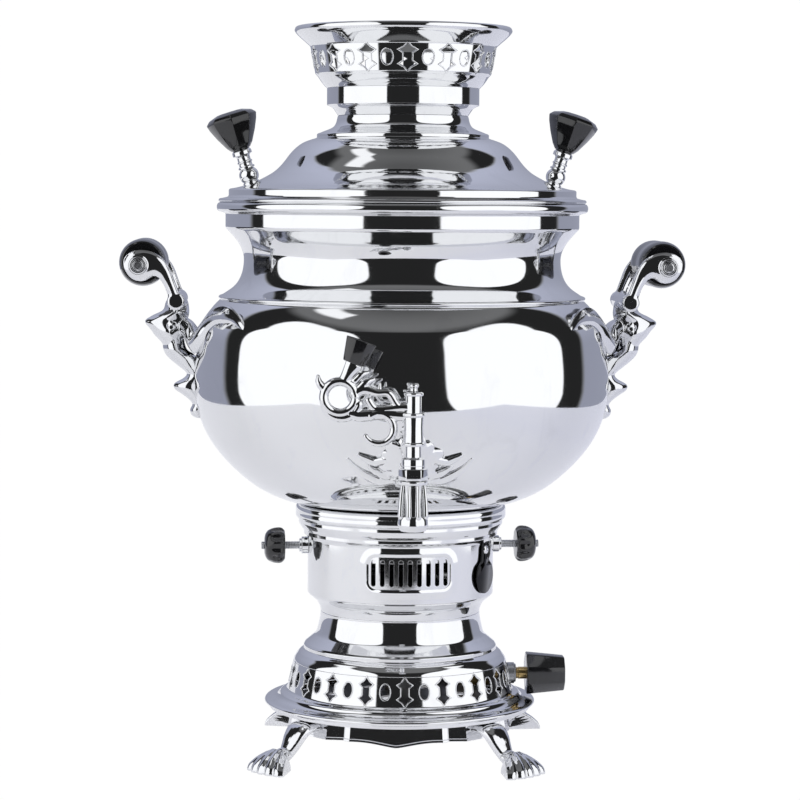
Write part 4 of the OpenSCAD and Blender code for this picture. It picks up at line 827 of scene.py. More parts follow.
seatR, domeZ = radiusOf["lidSeat"], z["rim"] + 0.74 * 54.8
lidLow = [[seatR, 357.0, 90], [108.5, 358.3, 174], [99.89, 360.2, 165], [83.77, 367.41, 150], [72.93, 378.1, 126],
          [64.31, 386.59, 147], [55.3, 390.15, 163]]
lidHigh = [[49.9, domeZ + 4.5, 158], [44.6, domeZ + 6.8, 148],
           [41.8, domeZ + 6.8 + (z["lid"] - domeZ - 6.8) * 0.67, 100], [41.2, z["lid"]]]
lidOuter = shifted([
    [seatR, -5.8], [seatR, 0], [115.5, 0], [116.3, 1.3, 90], [115.2, 2.5, 174], [112.5, 3], [110.4, 3.6], [seatR, 4.6]],
    z["rim"]) + lidLow + shifted([[54.3, 0.6], [54.4, 2, 90], [53.0, 3.3, 165]], domeZ) + lidHigh
lidLine = shellLine(lidOuter, lidOuter[:1] + lidLow + lidHigh, sheet["wall"], sheet["edge"], 3.0)
own(meshObject("lidDome", revolve(*lidLine, sheet["columns"])), chrome, "lid", "lid_shell")

bandR, bandZ = 48.1, z["band"]
turnedPiece("crownNeck", [
    [38.9, 397.4], [38.9, 404.4], [41.0, 404.4], [43.62, 408.3, 58], [bandR, 411.1, 22, 90], [bandR, bandZ],
    [47.1, bandZ], [47.1, 412.3], [42.76, 408.9], [37.9, 405.6], [37.9, 397.4]], chrome, "crown", "crown_neck", 176)


def starLoop(h, w):
    # Four-pointed star over star, joined by a neck; anticlockwise
    q = np.array([[0, h / 2], [w * 0.2, h * 0.36], [w / 2, h * 0.26], [w * 0.25, h * 0.16]])
    right = np.concatenate([q, (q * [1, -1])[::-1]])
    left = (right[1:-1] * [-1, 1])[::-1]
    return np.concatenate([right, left])[::-1]


def ovalLoop(h, w, n=26):
    # (w / 2 cos a, h / 2 sin a)
    a = aroundAngles(n)
    return np.stack([w / 2 * np.cos(a), h / 2 * np.sin(a)], 1)


def slotLoop(h, w, n=9):
    # Two half circles of radius w / 2, h apart from end to end
    a = np.linspace(0, np.pi, n)
    cap = np.stack([w / 2 * np.cos(a), (h - w) / 2 + w / 2 * np.sin(a)], 1)
    return np.concatenate([cap, -cap])


def roundedBox(halfX, halfZ, radius, n=10):
    # A quarter circle at each corner, each turned by a right angle from the one before
    a = np.linspace(0, np.pi / 2, n)
    corner = radius * np.stack([np.cos(a), np.sin(a)], 1)
    turn = np.array([[0, 1], [-1, 0]])
    return np.concatenate([
        corner @ np.linalg.matrix_power(turn, q) + [sx * (halfX - radius), sz * (halfZ - radius)]
        for q, (sx, sz) in enumerate(((1, 1), (-1, 1), (-1, -1), (1, -1)))])


def shiftedHoles(cuts, middle):
    # Stars and ovals by turns. The seam of the unrolled band lies a quarter of a pair before the first star.
    step, pairs = 360.0 / cuts["pairs"], range(cuts["pairs"])
    star, oval = starLoop(cuts["crossHigh"], cuts["crossWide"]), ovalLoop(cuts["ovalHigh"], cuts["ovalWide"])
    return [((i + 0.25) * step, middle, star) for i in pairs] + [((i + 0.75) * step, middle, oval) for i in pairs]


crown = dict(pairs=14, crossHigh=16.4, crossWide=10.0, ovalHigh=9.0, ovalWide=6.6, high=38.5)
bowlLow, bowlHigh = [55.5, bandZ + crown["high"] * 0.231], [58.7, bandZ + crown["high"] * 0.67]
bowlLine, bowlWay = turnedLine(
    shifted([[39.1, 0], [bandR, 0], [49.6, 1.4, 45], [53.7, 6.93, 58]], bandZ)
    + [bowlLow, bowlHigh, [59.3, bowlHigh[1] + 0.8], [64.58, bandZ + 31.19, 42]]
    + shifted([[68.5, -3, 62], [68.3, -1.2, 110], [66.6, 0, 180], [62.4, 0], [61.8, -5.6, 235]], z["top"])
    + [[57.7, bowlHigh[1]], [54.5, bowlLow[1]]]
    + shifted([[52.6, 7.7, 238], [48.5, 2.2, 225], [46.5, 1], [39.1, 1]], bandZ), 0.28)
# the pressed rim of a cut-out: how far out from its edge, and how high over the sheet
rimProfile = [(0.3, -0.1), (0.36, 0.16), (0.5, 0.27), (0.72, 0.27), (0.88, 0.14), (0.95, -0.1)]
holes = shiftedHoles(crown, (bowlLow[1] + bowlHigh[1]) / 2)
piercedPiece(("crownBowl", "crownRims"), bowlLine, bowlWay, (bowlLow[1] - 0.5, bowlHigh[1] + 0.5), holes, holes,
             rimProfile, 12, -(0.25 * 360 / crown["pairs"]), "crown", "crown_bowl")
print("stage: tank, lid and crown")

base = dict(pairs=18, crossHigh=16.4, crossWide=8.0, ovalHigh=9.0, ovalWide=5.6)
bandLow, bandTop, valveAt = [71.8, 40.4], [68.1, z["gallery"]], 90
flangeZ = z["flange"]
galleryOuter = [
    [85.1, flangeZ], [86.5, 32.4, 90], [84.7, 33.9, 172], [79.2, 34.8, 160], [76.8, 37.2, 115], [74.0, 38.7, 165],
    [*bandLow, 110, math.degrees(math.atan2(17.6, -3.7))], bandTop]
galleryCore = [[85.1, flangeZ], [84.3, 33.6, 172], [77.8, 35.6, 150], [73.2, 39.0, 140], bandLow, bandTop]
# the valve's hole takes the place of one oval
quarter = 0.25 * (360 / base["pairs"])
holes = [h for h in shiftedHoles(base, (bandLow[1] + bandTop[1]) / 2 - 0.2) if abs(h[0] - quarter - valveAt) > 1.0]
galleryLine, galleryWay = shellLine(galleryOuter, galleryCore, sheet["wall"], 0.25)
piercedPiece(("baseGallery", "baseRims"), galleryLine, galleryWay, (39.5, 58.5), holes, holes, rimProfile, 12,
             -quarter, "base", "gallery_base")

waistR, waistZ = radiusOf["waist"], z["waist"]
pedestalLine = shellLine(
    [[*bandTop, 98], [65.34, 63.0, 125], [61.6, 66.0, 150, 90], [61.6, 68.3], [60.6, 69.6], [54.4, 74.7, 138, 128],
     [52.4, 80.0, 103], [waistR, waistZ, 90]],
    [[*bandTop, 98], [64.85, 63.6, 125], [60.6, 68.6, 118], [54.4, 75.0, 135], [52.4, 80.0, 103], [waistR, waistZ, 90]],
    sheet["wall"], 0.3)
own(meshObject("pedestalShell", revolve(*pedestalLine, 200)), chrome, "base", "pedestal")

vents = dict(count=9, high=16.4, wide=2.8, pitch=5.6, port=16.0, drop=16.5)
housingLow = [[waistR, waistZ, 88], [52.6, 95.4, 62], [57.4, 100.2, 40], [housingR, 102.2, 60, 90],
              [housingR, 136.4, 90]]
wallLine, wallWay = shellLine(housingLow + [[61.4, footLow, 50]], housingLow + [[60.86, 138.96, 50]], sheet["wall"])
# the seam of the unrolled wall runs down the back
slot = slotLoop(vents["high"], vents["wide"])
holes = [(180 + (i - 4) * vents["pitch"], z["slots"], slot) for i in range(vents["count"])]
holes.append((180 + turnOf["port"], z["rivet"] - vents["drop"], ovalLoop(vents["port"], vents["port"], 40)))
# the pressed frame round the air slots, in the same way
frameProfile = [(-0.6, -0.1), (-0.2, 0.12), (0.5, 0.42), (1.4, 0.58), (2.3, 0.52), (3.4, 0.3), (4.6, 0.1), (5.8, 0.01),
                (6.4, -0.1)]
piercedPiece(("burnerHousing", "ventFrame"), wallLine, wallWay, (101.5, 137.2), holes,
             [(180.0, z["slots"], roundedBox(26.4, 10.4, 5.0))], frameProfile, 14, turnOf["housing"] - 180, "base",
             "burner_housing")

# The stand: a round top ring over a four-sided apron whose panels drop to a cusp. The apron's sides widen downwards
# by `lean` a millimetre.
stand = dict(radius=67.0, panel=27.5, high=13.2, cusp=3.6, strip=4.2, step=3.4, reach=59.8, corner=74.0, lean=0.0021)


def apronPlan():
    # One side, from its corner over the raised strip and the bulging panel, turned to the other three
    r, h, s, e = stand["radius"], stand["panel"], stand["strip"], stand["step"]
    pts = [[-h - 15, -r + e + 1], [-h - s, -r + e], [-h - s + 0.7, -r + 0.9], [-h - 0.6, -r - 1.0]]
    bulge = [[x, -r - 1.2 + 0.9 * (abs(x) / h) ** 2 * 0.3] for x in np.linspace(-h + 0.6, h - 0.6, 13)]
    side = np.array(pts + bulge + [[-x, y] for x, y in pts[::-1]])
    turns = [math.radians(90 * q) for q in range(4)]
    return np.concatenate([side @ np.array([[math.cos(a), math.sin(a)], [-math.sin(a), math.cos(a)]]) for a in turns])


def apronGeo():
    # low(u) = flange - high - cusp (1 + cos(pi u^0.7)) / 2, u the distance from the middle of a side over the panel's
    outer = finer(apronPlan(), 1.6)
    angle = np.arctan2(outer[:, 1], outer[:, 0])
    q = np.mod(angle + math.pi / 4, math.pi / 2) - math.pi / 4
    radius = np.minimum(stand["reach"] / np.cos(q), stand["corner"])
    inner = np.stack([np.cos(angle), np.sin(angle)], 1) * radius[:, None]
    u = np.where(np.abs(np.mod(angle, math.pi) - math.pi / 2) < math.pi / 4, outer[:, 0], outer[:, 1])
    share = np.clip(np.abs(u) / stand["panel"], 0, 1)
    drop = (0.5 + 0.5 * np.cos(np.pi * share ** 0.7)) * (np.abs(u) < stand["panel"])
    low = flangeZ - stand["high"] - stand["cusp"] * drop
    top = flangeZ - 2.2
    away = np.linalg.norm(outer, axis=1)
    bead = (outer.T * (1 + 0.35 / away)).T
    rows = [(inner, low), ((outer.T * (1 - 0.4 / away)).T, low), (bead, low + 0.35), (bead, low + 1.5),
            (outer, low + 1.9), (outer, 0 * low + (top + flangeZ - stand["high"]) / 2), (outer, 0 * low + top),
            (inner, 0 * low + top)]
    rings = np.array([np.column_stack(row) for row in rows])
    for ring in rings[1:-1]:
        ring[:, :2] = ring[:, :2] * (1 + stand["lean"] * (flangeZ - ring[:, 2]))[:, None]
    n, m = rings.shape[:2]
    starts = np.arange(n) * m
    return rings.reshape(-1, 3), strips(starts, np.roll(starts, -1), m), np.zeros((0, 3), int), None


topRing = revolve(*turnedLine([[49, 28.6], [83.5, 28.6], [83.5, flangeZ], [49, flangeZ]], 0.5), 160)
apron = meshObject("standApron", turnedAbout(joined([apronGeo(), (*topRing[:3], None)]), turnOf["stand"]))
own(apron, chromeCast, "base", "stand")
split = apron.modifiers.new("edges", "EDGE_SPLIT")
split.split_angle = math.radians(32)

# A leg: block under the stand, curved strap, ankle with its knuckle, and a paw of fluted toes
leg = dict(ankle=100.0, toes=5, long=24.0, wide=34.0, high=14.0, width=19.0)
pawRows = ((0, 0), (0.1, 0.01), (0.22, 0.04), (0.34, 0.1), (0.46, 0.2), (0.6, 0.33), (0.74, 0.5), (0.88, 0.72), (1, 1))


def pawGeo():
    # Rings climb from the floor to the crest: x = ankle + long (0.76 - 0.55 lean) - 0.17 long t^2 + flute(t).
    # A row has its share of the height and its lean, with which the flutes fade and the toes draw together.
    t = np.linspace(-1, 1, 91)
    loops = []
    for u, lean in pawRows:
        half = leg["wide"] / 2 * (1 - 0.6 * lean)
        flute = (1.5 * np.abs(np.cos(np.pi * leg["toes"] / 2 * t)) - 0.9) * (1 - 0.75 * lean)
        x = leg["ankle"] + leg["long"] * (0.76 - 0.55 * lean) - 0.17 * leg["long"] * t**2 + flute
        heel = leg["ankle"] - 3 + 2 * lean - 2 * (1 - t**2)
        front = np.column_stack([x, half * t, u * leg["high"] * (1 - 0.12 * t**2)])
        back = np.column_stack([heel, (5.5 - 1.5 * lean) * t, 0 * t + u * leg["high"] * 0.6])
        loops.append(np.concatenate([front, back[::-1]]))
    return loft(loops)


def legGeo():
    # rows of the strap and the knuckle: x, y, z, half width, half thickness
    top, w = flangeZ - 2.4, leg["width"] / 2
    strap = [[76.5, 0, top - 3.4, w, 3.3], [80, 0, top - 3.4, w, 3.3], [85.4, 0, top - 4.8, w, 3.5],
             [89.5, 0, top - 9, w * 0.9, 3.6], [92.8, 0, top - 14, w * 0.74, 3.4], [96.3, 0, 10, w * 0.56, 3.2],
             [99.8, 0, 7.8, w * 0.5, 3.4], [104, 0, 6.2, w * 0.5, 3.5]]
    knuckle = [[98.6, -5.4, 9.6, 2.0, 1.9], [99.6, 0, 11.6, 2.2, 2.2], [98.6, 5.4, 9.6, 2.0, 1.9]]
    return [limb(strap, 28, 6, (1, 0, 0.6), square=0.7, flare=0.14), limb(knuckle, 16, 5, (1, 0, 0)), pawGeo()]


for end, side, angle in (("Front", "Left", 225), ("Front", "Right", 315), ("Rear", "Left", 135), ("Rear", "Right", 45)):
    geos = [placed(g, spin=angle + turnOf["stand"]) for g in legGeo()]
    own(fused("leg" + end + side, geos, 0.42, 5), chromeCast, "base", "leg_" + end.lower() + "_" + side.lower())
print("stage: base, housing and stand")


def blockOf(ring, rows):
    # A block over one outline: its share and its height, row by row
    return loft([np.column_stack([ring * share, np.full(len(ring), h)]) for share, h in rows])


def corners(sides, offset=0.0):
    # (cos a, sin a) at the corners of a regular polygon
    a = 2 * np.pi * (np.arange(sides) + offset) / sides
    return np.stack([np.cos(a), np.sin(a)], 1)


def facetedKnob(wide, narrow, long, sides=8):
    # A frustum with flat sides, `wide` and `narrow` across the flats
    return blockOf(corners(sides, 0.5) / math.cos(math.pi / sides), ((wide / 2, 0.0), (narrow / 2, long)))


# black octagonal knob on its brass spindle, along +X
valve = dict(wide=26.2, narrow=21.6, long=24.6, bush=70.0, knob=70.0 + 4.5 + 6.6)
valveAxis = (1, 0, 0)
bushAt = ((valve["bush"], 0, z["valve"]), valveAxis)
knob = placed(facetedKnob(valve["wide"], valve["narrow"], valve["long"]), (valve["knob"], 0, z["valve"]), valveAxis)
own(bevelled("valveKnob", knob, 0.9), black, "valve", "valve_knob")
turnedPiece("valveSpindle", [
    [0, -9.0], [3.2, -9.0], [3.2, 0.8], [3.85, 0.8], [3.85, 5.0], [3.5, 5.3], [3.5, 6.0], [3.85, 6.3], [3.85, 20.0],
    [0, 20.0]], brass, "valve", "valve_spindle", 64, 0.15, bushAt)
turnedPiece("valveBushing", [[3.9, -1.0], [6.75, -1.0], [6.75, 3.5], [5.9, 3.5], [5.9, 4.5], [3.9, 4.5]], zincGrey,
            "base", "valve_bushing", 72, 0.3, bushAt)


def lobedKnob(radius, long, lobes=10):
    # r(t, s) = outline(s) (1 + a cos(lobes t)), with a fading at both ends
    line, way = turnedLine([[0, 0], [radius - 1.6, 0], [radius - 0.3, 1.4, 60], [radius, long * 0.5, 96],
                            [radius * 0.82, long * 0.86, 140], [0, long, 180]], 0.6, 4.0)
    verts, quads, tris, _ = revolve(line, way, 160)
    r = np.hypot(verts[:, 0], verts[:, 1])
    t = np.arctan2(verts[:, 1], verts[:, 0])
    fade = np.clip(r / radius, 0, 1) ** 4 * np.clip((long * 0.8 - verts[:, 2]) / (long * 0.3), 0, 1)
    verts[:, :2] *= (1 + 0.045 * fade * np.cos(lobes * t))[:, None]
    return verts, quads, tris, None


clamp = dict(knob=10.8, long=13.0, rod=2.45, thread=0.14, start=58.0, rodLong=31.0, standOff=15.0)


def threadedRod(n=40):
    # r(t, s) = rod - thread + thread cos(2 pi s - t): the crest climbs 1 mm a turn
    rows = np.arange(0, clamp["rodLong"], 0.125)
    a = aroundAngles(n)
    wave = clamp["rod"] - clamp["thread"] + clamp["thread"] * np.cos(2 * np.pi * rows[:, None] - a[None, :])
    return loft(np.stack([wave * np.cos(a), wave * np.sin(a), np.repeat(rows[:, None], n, 1)], 2))


for side, sign in (("left", -90), ("right", 90)):
    way = facingDir(turnOf["housing"] + sign)
    at = lambda r: (tuple(way * r + [0, 0, z["clamp"]]), way)
    turnedPiece(side + "ClampBoss", [[2.55, 0.3], [5.4, 0.3], [5.4, 4.5], [4.2, 4.5], [4.2, 6.0], [2.55, 6.0]], chrome,
                "base", side + "_clamp_boss", 72, 0.35, at(housingR - 0.35))
    own(meshObject(side + "ClampRod", placed(threadedRod(), *at(clamp["start"]))), steel, side + "_rod",
        side + "_clamp_rod")
    knob = placed(lobedKnob(clamp["knob"], clamp["long"]), *at(housingR + clamp["standOff"]))
    own(meshObject(side + "ClampKnob", knob), black, side + "_knob", side + "_clamp_knob")

# pear-shaped flap over the lighting port, in rings of its outline set in by `round` at both faces
cover = dict(round=0.25, standOff=0.5)
half = soften(spans([[0.01, 4.4, 0], [4.4, 0, 270], [5.2, -5.94, 282], [9.41, -10.45, 303], [11.2, -16.5, 270],
                     [0.01, -27.7, 180]], 5.0), 0.1, False)[0]
loop = np.concatenate([half, half[::-1] * [-1, 1]])[::-1]
inset = grown(loop, -cover["round"])
flapRows = ((inset, 0), (loop, 0.2), (loop, 0.75), (inset, 1.0))
flap = loft([np.column_stack([outline, np.full(len(loop), h)]) for outline, h in flapRows])
portAngle = turnOf["housing"] + turnOf["port"]
portWay, portZ = facingDir(portAngle), np.array([0, 0, z["rivet"]])
sideways = np.append(headingOf(portAngle), 0)
flapVerts = (flap[0][:, :1] * sideways + flap[0][:, 1:2] * np.array([0, 0, 1.0]) + flap[0][:, 2:] * portWay
             + portWay * (housingR + cover["standOff"]) + portZ)
own(meshObject("portCover", (flapVerts, *flap[1:])), bluedSteel, "cover", "port_cover")
turnedPiece("portRivet", [
    [0, -1.35], [2.6, -1.35], [2.6, -1.0], [1.5, -1.0], [1.5, 1.6], [2.8, 1.6], [2.3, 2.3, 130], [0, 2.7, 180]],
    chrome, "base", "port_rivet", 48, 0.15, (tuple(portWay * housingR + portZ), portWay), "steel")

# barbed hose tail at the rear
hose = dict(x=48, bore=2.9, barbs=4, pitch=5.0, long=30)
tailY = math.sqrt(72.1**2 - hose["x"]**2)
tail = [[hose["bore"], 25.0], [5.1, 25.0], [5.1, tailY], [4.5, tailY + 0.2]]
for i in range(hose["barbs"]):
    shift = i * hose["pitch"]
    tail += [[4.5, tailY + 5 + shift], [3.9, tailY + 9.4 + shift], [4.5, tailY + 9.9 + shift]]
tail += [[4.5, tailY + 26], [3.9, tailY + hose["long"]], [hose["bore"], tailY + hose["long"]]]
turnedPiece("hoseTail", tail, brass, "base", "hose_tail", 64, 0.15, ((hose["x"], 0, z["valve"]), (0, 1, 0)))
print("stage: valve, clamps and port")

grip = dict(x=163.1, radius=13.8, long=54.0, thick=4.5, rise=54)
gripX, gripZ = grip["x"], z["grip"]
crosswise = (0, 1, 0)
# Stations from the grip's axis: cheek plate seen from its side
cheekLine = [[11.7, 0, 90], [4.2, 7.7, 166], [-0.3, 8.1, 182], [-11, 4.4, 215], [-17.2, -4.6, 246], [-23.9, -20.8],
             [-17.2, -22.6, 65], [-14.1, -10.8, 78], [-7.4, -8.1, 350], [0.6, -11.7, 330, 15], [9.1, -6.8, 48],
             [11.7, 0, 90]]
# The trunk at heights from the grip's axis: reach in front of the belly, back of the trunk, half width
trunkRows = [
    [-17.0, 10.5, 8.5, 3.5], [-20.6, 14.4, 6.4, 6.0], [-25.1, 17.8, 4.0, 7.6], [-30.4, 19.6, 3.2, 9.6],
    [-33.6, 25.6, 3.4, 9.9], [-36.7, 30.4, 4.4, 9.3], [-39.4, 30.2, 5.6, 9.8], [-43.0, 27.2, 6.2, 10.8],
    [-46.2, 25.0, 6.4, 10.3], [-49.0, 22.4, 6.2, 9.0], [-51.8, 20.0, 5.8, 9.1], [-55.4, 19.4, 4.4, 9.6],
    [-59.0, 17.6, -0.5, 8.8], [-62.6, 14.0, -3.0, 7.6], [-66.5, 9.2, -4.0, 6.9], [-70.5, 4.8, -5.0, 6.2],
    [-73.5, 6.6, -5.5, 6.3], [-77.0, 12.4, -5.5, 6.8], [-80.5, 12.2, -5.5, 6.8], [-84.0, 7.4, -6.0, 5.8],
    [-87.5, 3.0, -6.0, 5.0], [-90.4, 1.2, -6.0, 4.6], [-93.5, 2.6, -6.0, 4.7], [-97.0, 1.8, -6.0, 4.0],
    [-99.0, -1.2, -6.0, 2.4]]
# Middle line of a cheek from the grip's axis: x, z, half width
cheekSpine = [[4.5, -1.6, 6.6], [0.5, -1.6, 9.0], [-4.2, -1.2, 8.2], [-9.4, -2.4, 6.0], [-13.8, -6.2, 4.4],
              [-16.9, -12.2, 3.5], [-19.2, -18.0, 3.3], [-20.4, -21.4, 3.2]]
# An arm on the belly: angle from the handle, distance out, height from the bead, half width, half thickness
armRows = ([0.5, 14, -18, 6, 5], [4, 8, -22, 6.5, 4.5], [8, 3.8, -28, 6.5, 4], [12, 2.8, -23, 6, 3.8],
           [16, 2.4, -15.5, 6.2, 3.6], [21, 2.2, -11, 6.5, 3.4], [27, 2, -10, 6.5, 3.2], [32, 1.5, -11.5, 4.4, 2.6],
           [36, 1, -15, 3.2, 2], [40, 0.6, -20, 1, 1])


def cheekGeo(cheek, sign):
    # A thin plate with a domed pad on its outer face, the pad's crown leaning a little outwards
    y0, y1 = grip["long"] / 2 + 0.05, grip["long"] / 2 + grip["thick"]
    faces = [np.column_stack([cheek[:, 0], np.full(len(cheek), sign * y), cheek[:, 1]]) for y in (y0, y1 - 2.3)]
    plate = loft(faces[::-1] if sign > 0 else faces)
    spine = [[gripX + x, sign * (y1 - 2.4), gripZ + zz, wide, 2.5] for x, zz, wide in cheekSpine]
    nose = revolve(*turnedLine([[0, -2.6], [9.4, -2.6], [9.9, -1.6, 90], [8.4, 0.8, 140], [5.0, 2.2, 165],
                                [0, 2.6, 180]], 0.4), 56)
    at = (gripX + 1.0, sign * (y1 - 2.3), gripZ - 1.7)
    return [plate, limb(spine, 32, 6, crosswise), placed(nose, at, (0, sign, 0))]


def trunkGeo(n=72):
    # Each section is x = middle + half depth cos a (1 + lobes), y = half width sin a. The lobes fade at the back.
    rows = alongRows([[gripZ + h, (front + back) / 2 + bellyR, (front - back) / 2, wide]
                      for h, front, back, wide in trunkRows], 4)
    a = aroundAngles(n)
    lobes = 0.03 * np.cos(6 * a) * np.clip(np.cos(a) + 0.25, 0, 1)
    shape, flank = (np.sign(way) * np.abs(way) ** 1.25 for way in (np.cos(a), np.sin(a)))
    return loft([np.column_stack([mid + depth * shape * (1 + lobes), wide * 1.12 * flank * (1 + lobes), np.full(n, h)])
                 for h, mid, depth, wide in rows[::-1]])


def armGeo(sign):
    # Rows on the belly, whose radius at a height from the bead is belly - 17 max(0, 1 + height / (0.9 rise))^2
    rows = []
    for a, out, zz, halfWide, halfThick in armRows:
        r = bellyR - 17 * max(0.0, 1 + zz / (grip["rise"] * 0.9)) ** 2 + out
        rows.append([*(r * headingOf(sign * a)), z["bead"] + zz, halfWide, halfThick])
    return limb(rows, 36, 6, ribs=4, ribDepth=0.06)


def handleGeo():
    # Two cheeks, the trunk, a cross bar and two arms
    cheek = soften(spans(cheekLine, 5.0), 0.5, True)[0]
    cheek = finer(cheek[np.linalg.norm(cheek - np.roll(cheek, 1, 0), axis=1) > 1e-6], 1.2) + [gripX, gripZ]
    half = [[5.2, 0, 90], [5.6, 24.0], [5.0, 25.0], [5.0, 27.4], [5.6, 28.2], [5.6, 30.2], [4.6, 31.4], [0, 31.4]]
    bar = revolve(*turnedLine([[r, -h] for r, h in half[:0:-1]] + half, 0.5), 48)
    bar = placed(bar, (gripX - 21, 0, gripZ - 23.8), crosswise)
    return cheekGeo(cheek, 1) + cheekGeo(cheek, -1) + [trunkGeo(), bar, armGeo(-1), armGeo(1)]


rollR = grip["radius"]
rollLine = turnedLine([[0, -27], [rollR - 1.4, -27], [rollR - 0.4, -25.8, 70], [rollR, 0, 90], [rollR - 0.4, 25.8, 110],
                       [rollR - 1.4, 27], [0, 27]], 0.6, 3.0)
nutLine = turnedLine([
    [2.55, 31.5], [6.6, 31.5], [6.6, 32.3], [5.9, 32.6], [5.6, 32.6], [5.3, 33.6, 90], [4.9, 34.3, 150], [4.2, 34.3],
    [4.0, 33.6], [3.3, 33.6], [3.1, 34.5], [2.55, 34.6]], 0.15)
rodLine = turnedLine([[0, -36], [2.5, -36], [2.5, 36], [0, 36]], 0.3)
rodAt = (gripX + 2.4, 0, gripZ - 1.5)
castParts = handleGeo()
gripParts = (
    ("Grip", "_grip", placed(revolve(*rollLine, 96), (gripX, 0, gripZ), crosswise), gripBlack, "bakelite"),
    ("GripRod", "_grip_rod", placed(revolve(*rodLine, 40), rodAt, crosswise), steel, "steel"),
    ("GripNuts", "_grip_nuts", joined([placed(revolve(*nutLine, 64), rodAt, (0, way, 0)) for way in (1, -1)]), chrome,
     "steel"))
for side in ("left", "right"):
    flip = mirrored if side == "left" else (lambda g: g)
    own(fused(side + "Handle", [flip(g) for g in castParts], 0.62, 5), chromeCast, "tank", side + "_handle")
    for label, node, geo, look, slot in gripParts:
        own(meshObject(side + label, flip(geo)), look, "tank", side + node, slot)
print("stage: handles")

tapAt, shankZ, frontwise = (0, -tapY, 0), z["shank"], (0, -1, 0)
tap = dict(barrel=6.0, reach=43.0, cage=20.6, ring=9.0, fins=8)
spoutTop = z["spout"] + 0.4
spoutLow = spoutTop - tap["cage"] - tap["ring"]


column = revolve(*turnedLine(
    [[0, spoutTop], [6.8, spoutTop]] + shifted([[6.8, 0.3], [6.9, 0.5], [6.9, 4.2], [4.7, 5.2]], shankZ)
    + [[4.6, z["key"]], [0, z["key"]]], 0.3), 72)
shank = revolve(*turnedLine([[0, 0], [6.0, 0], [6.0, tapY - 98.7], [0, tapY - 98.7]], 0.2), 64)
parts = [placed(column, tapAt), placed(shank, (0, -tapY, shankZ), crosswise)]
own(meshObject("tapBody", joined(parts)), chromeTap, "tank", "tap_body")
hexTop = z["spout"] + 7.8
hexagon = blockOf(corners(6) * 8.7, ((0.93, spoutTop), (1.0, spoutTop + 0.5), (1.0, hexTop - 0.5), (0.93, hexTop)))
own(bevelled("tapHexagon", placed(hexagon, tapAt), 0.35, 2), chromeTap, "tank")

barrelR, barrelZ, stemZ = tap["barrel"], z["barrel"], z["stem"]
turnedPiece("tapBarrel", shifted([[0, 0.05], [barrelR + 0.5, 0.05], [barrelR + 0.7, 1.2, 90]], z["key"]) + [
    [barrelR, barrelZ], [barrelR - 0.3, (barrelZ + stemZ) / 2, 90]] + shifted([
    [barrelR, -2.4], [barrelR + 0.8, -1.6, 70], [barrelR + 0.8, -0.4, 110], [4.6, 0], [4.6, 10], [0, 10]], stemZ),
    chromeTap, "key", "", 72, 0.25, (tapAt,))
turnedPiece("tapFinial", shifted([
    [0, 0], [5.6, 0], [5.8, 1.2, 90], [4.8, 2.2], [2.4, 2.8], [2.2, 4, 90], [3, 5.6, 80], [0, 7.6, 180]], stemZ + 10),
    chromeTap, "key", "tap_finial", 64, 0.2, (tapAt,))

# Scrolled lever: two loops, horn, comb, eye and neck, cast in one. Points are x, z, half width, half thickness.
reach, leverZ = tap["reach"], stemZ + 9
(bigX, bigZ), (smallX, smallZ) = (-reach, leverZ), (-reach * 0.47, leverZ - 18.2)
eyeX, eyeZ = -reach * 0.45, leverZ - 2.6
leverStrokes = (
    shifted([[6, -9.4, 3.2, 2.8], [12, -10.6, 3.8, 2.9]], bigZ, bigX)
    + [[smallX + 1, smallZ + 8.6, 3.6, 2.9], [-10, smallZ + 7.8, 3.4, 2.9], [-3, smallZ + 7.4, 3.2, 2.8]],
    shifted([[-8.4, 4, 2.6, 2.5], [-11.8, 8.4, 2.2, 2.1], [-12.6, 12.4, 1.0, 1.1]], bigZ, bigX),
    shifted([[2, 8.6, 3.2, 2.8], [5, 13.8, 4.0, 3.0], [8.4, 19.4, 5.4, 3.0]], bigZ, bigX),
    shifted([[8, 2, 3.4, 2.7], [14, 4.4, 3.2, 2.7]], bigZ, bigX)
    + shifted([[-2, 5.2, 2.4, 2.6], [5, 4.8, 2.4, 2.6]], eyeZ, eyeX)
    + [[-9, stemZ + 3.8, 2.6, 2.6], [-3, stemZ + 2.4, 2.8, 2.7]],
    shifted([[11, 4.4, 2.8, 2.5], [15.4, 8.6, 2.5, 2.3], [20, 10.6, 1.0, 1.1]], bigZ, bigX),
    shifted([[8.6, 9.4, 2.4, 2.3], [12.6, 13.2, 2.0, 2.0], [16.6, 14.4, 0.9, 1.0]], bigZ, bigX),
    shifted([[-0.8, 5, 1.7, 2.0], [-0.2, 10.8, 0.7, 0.8]], eyeZ, eyeX),
    shifted([[-7, 1, 2.4, 2.5], [-3, -4.0, 2.4, 2.5], [4, -4.2, 2.6, 2.6]], eyeZ, eyeX)
    + [[-9, eyeZ - 3.4, 2.8, 2.7], [-3, eyeZ - 3.2, 3.0, 2.8]])
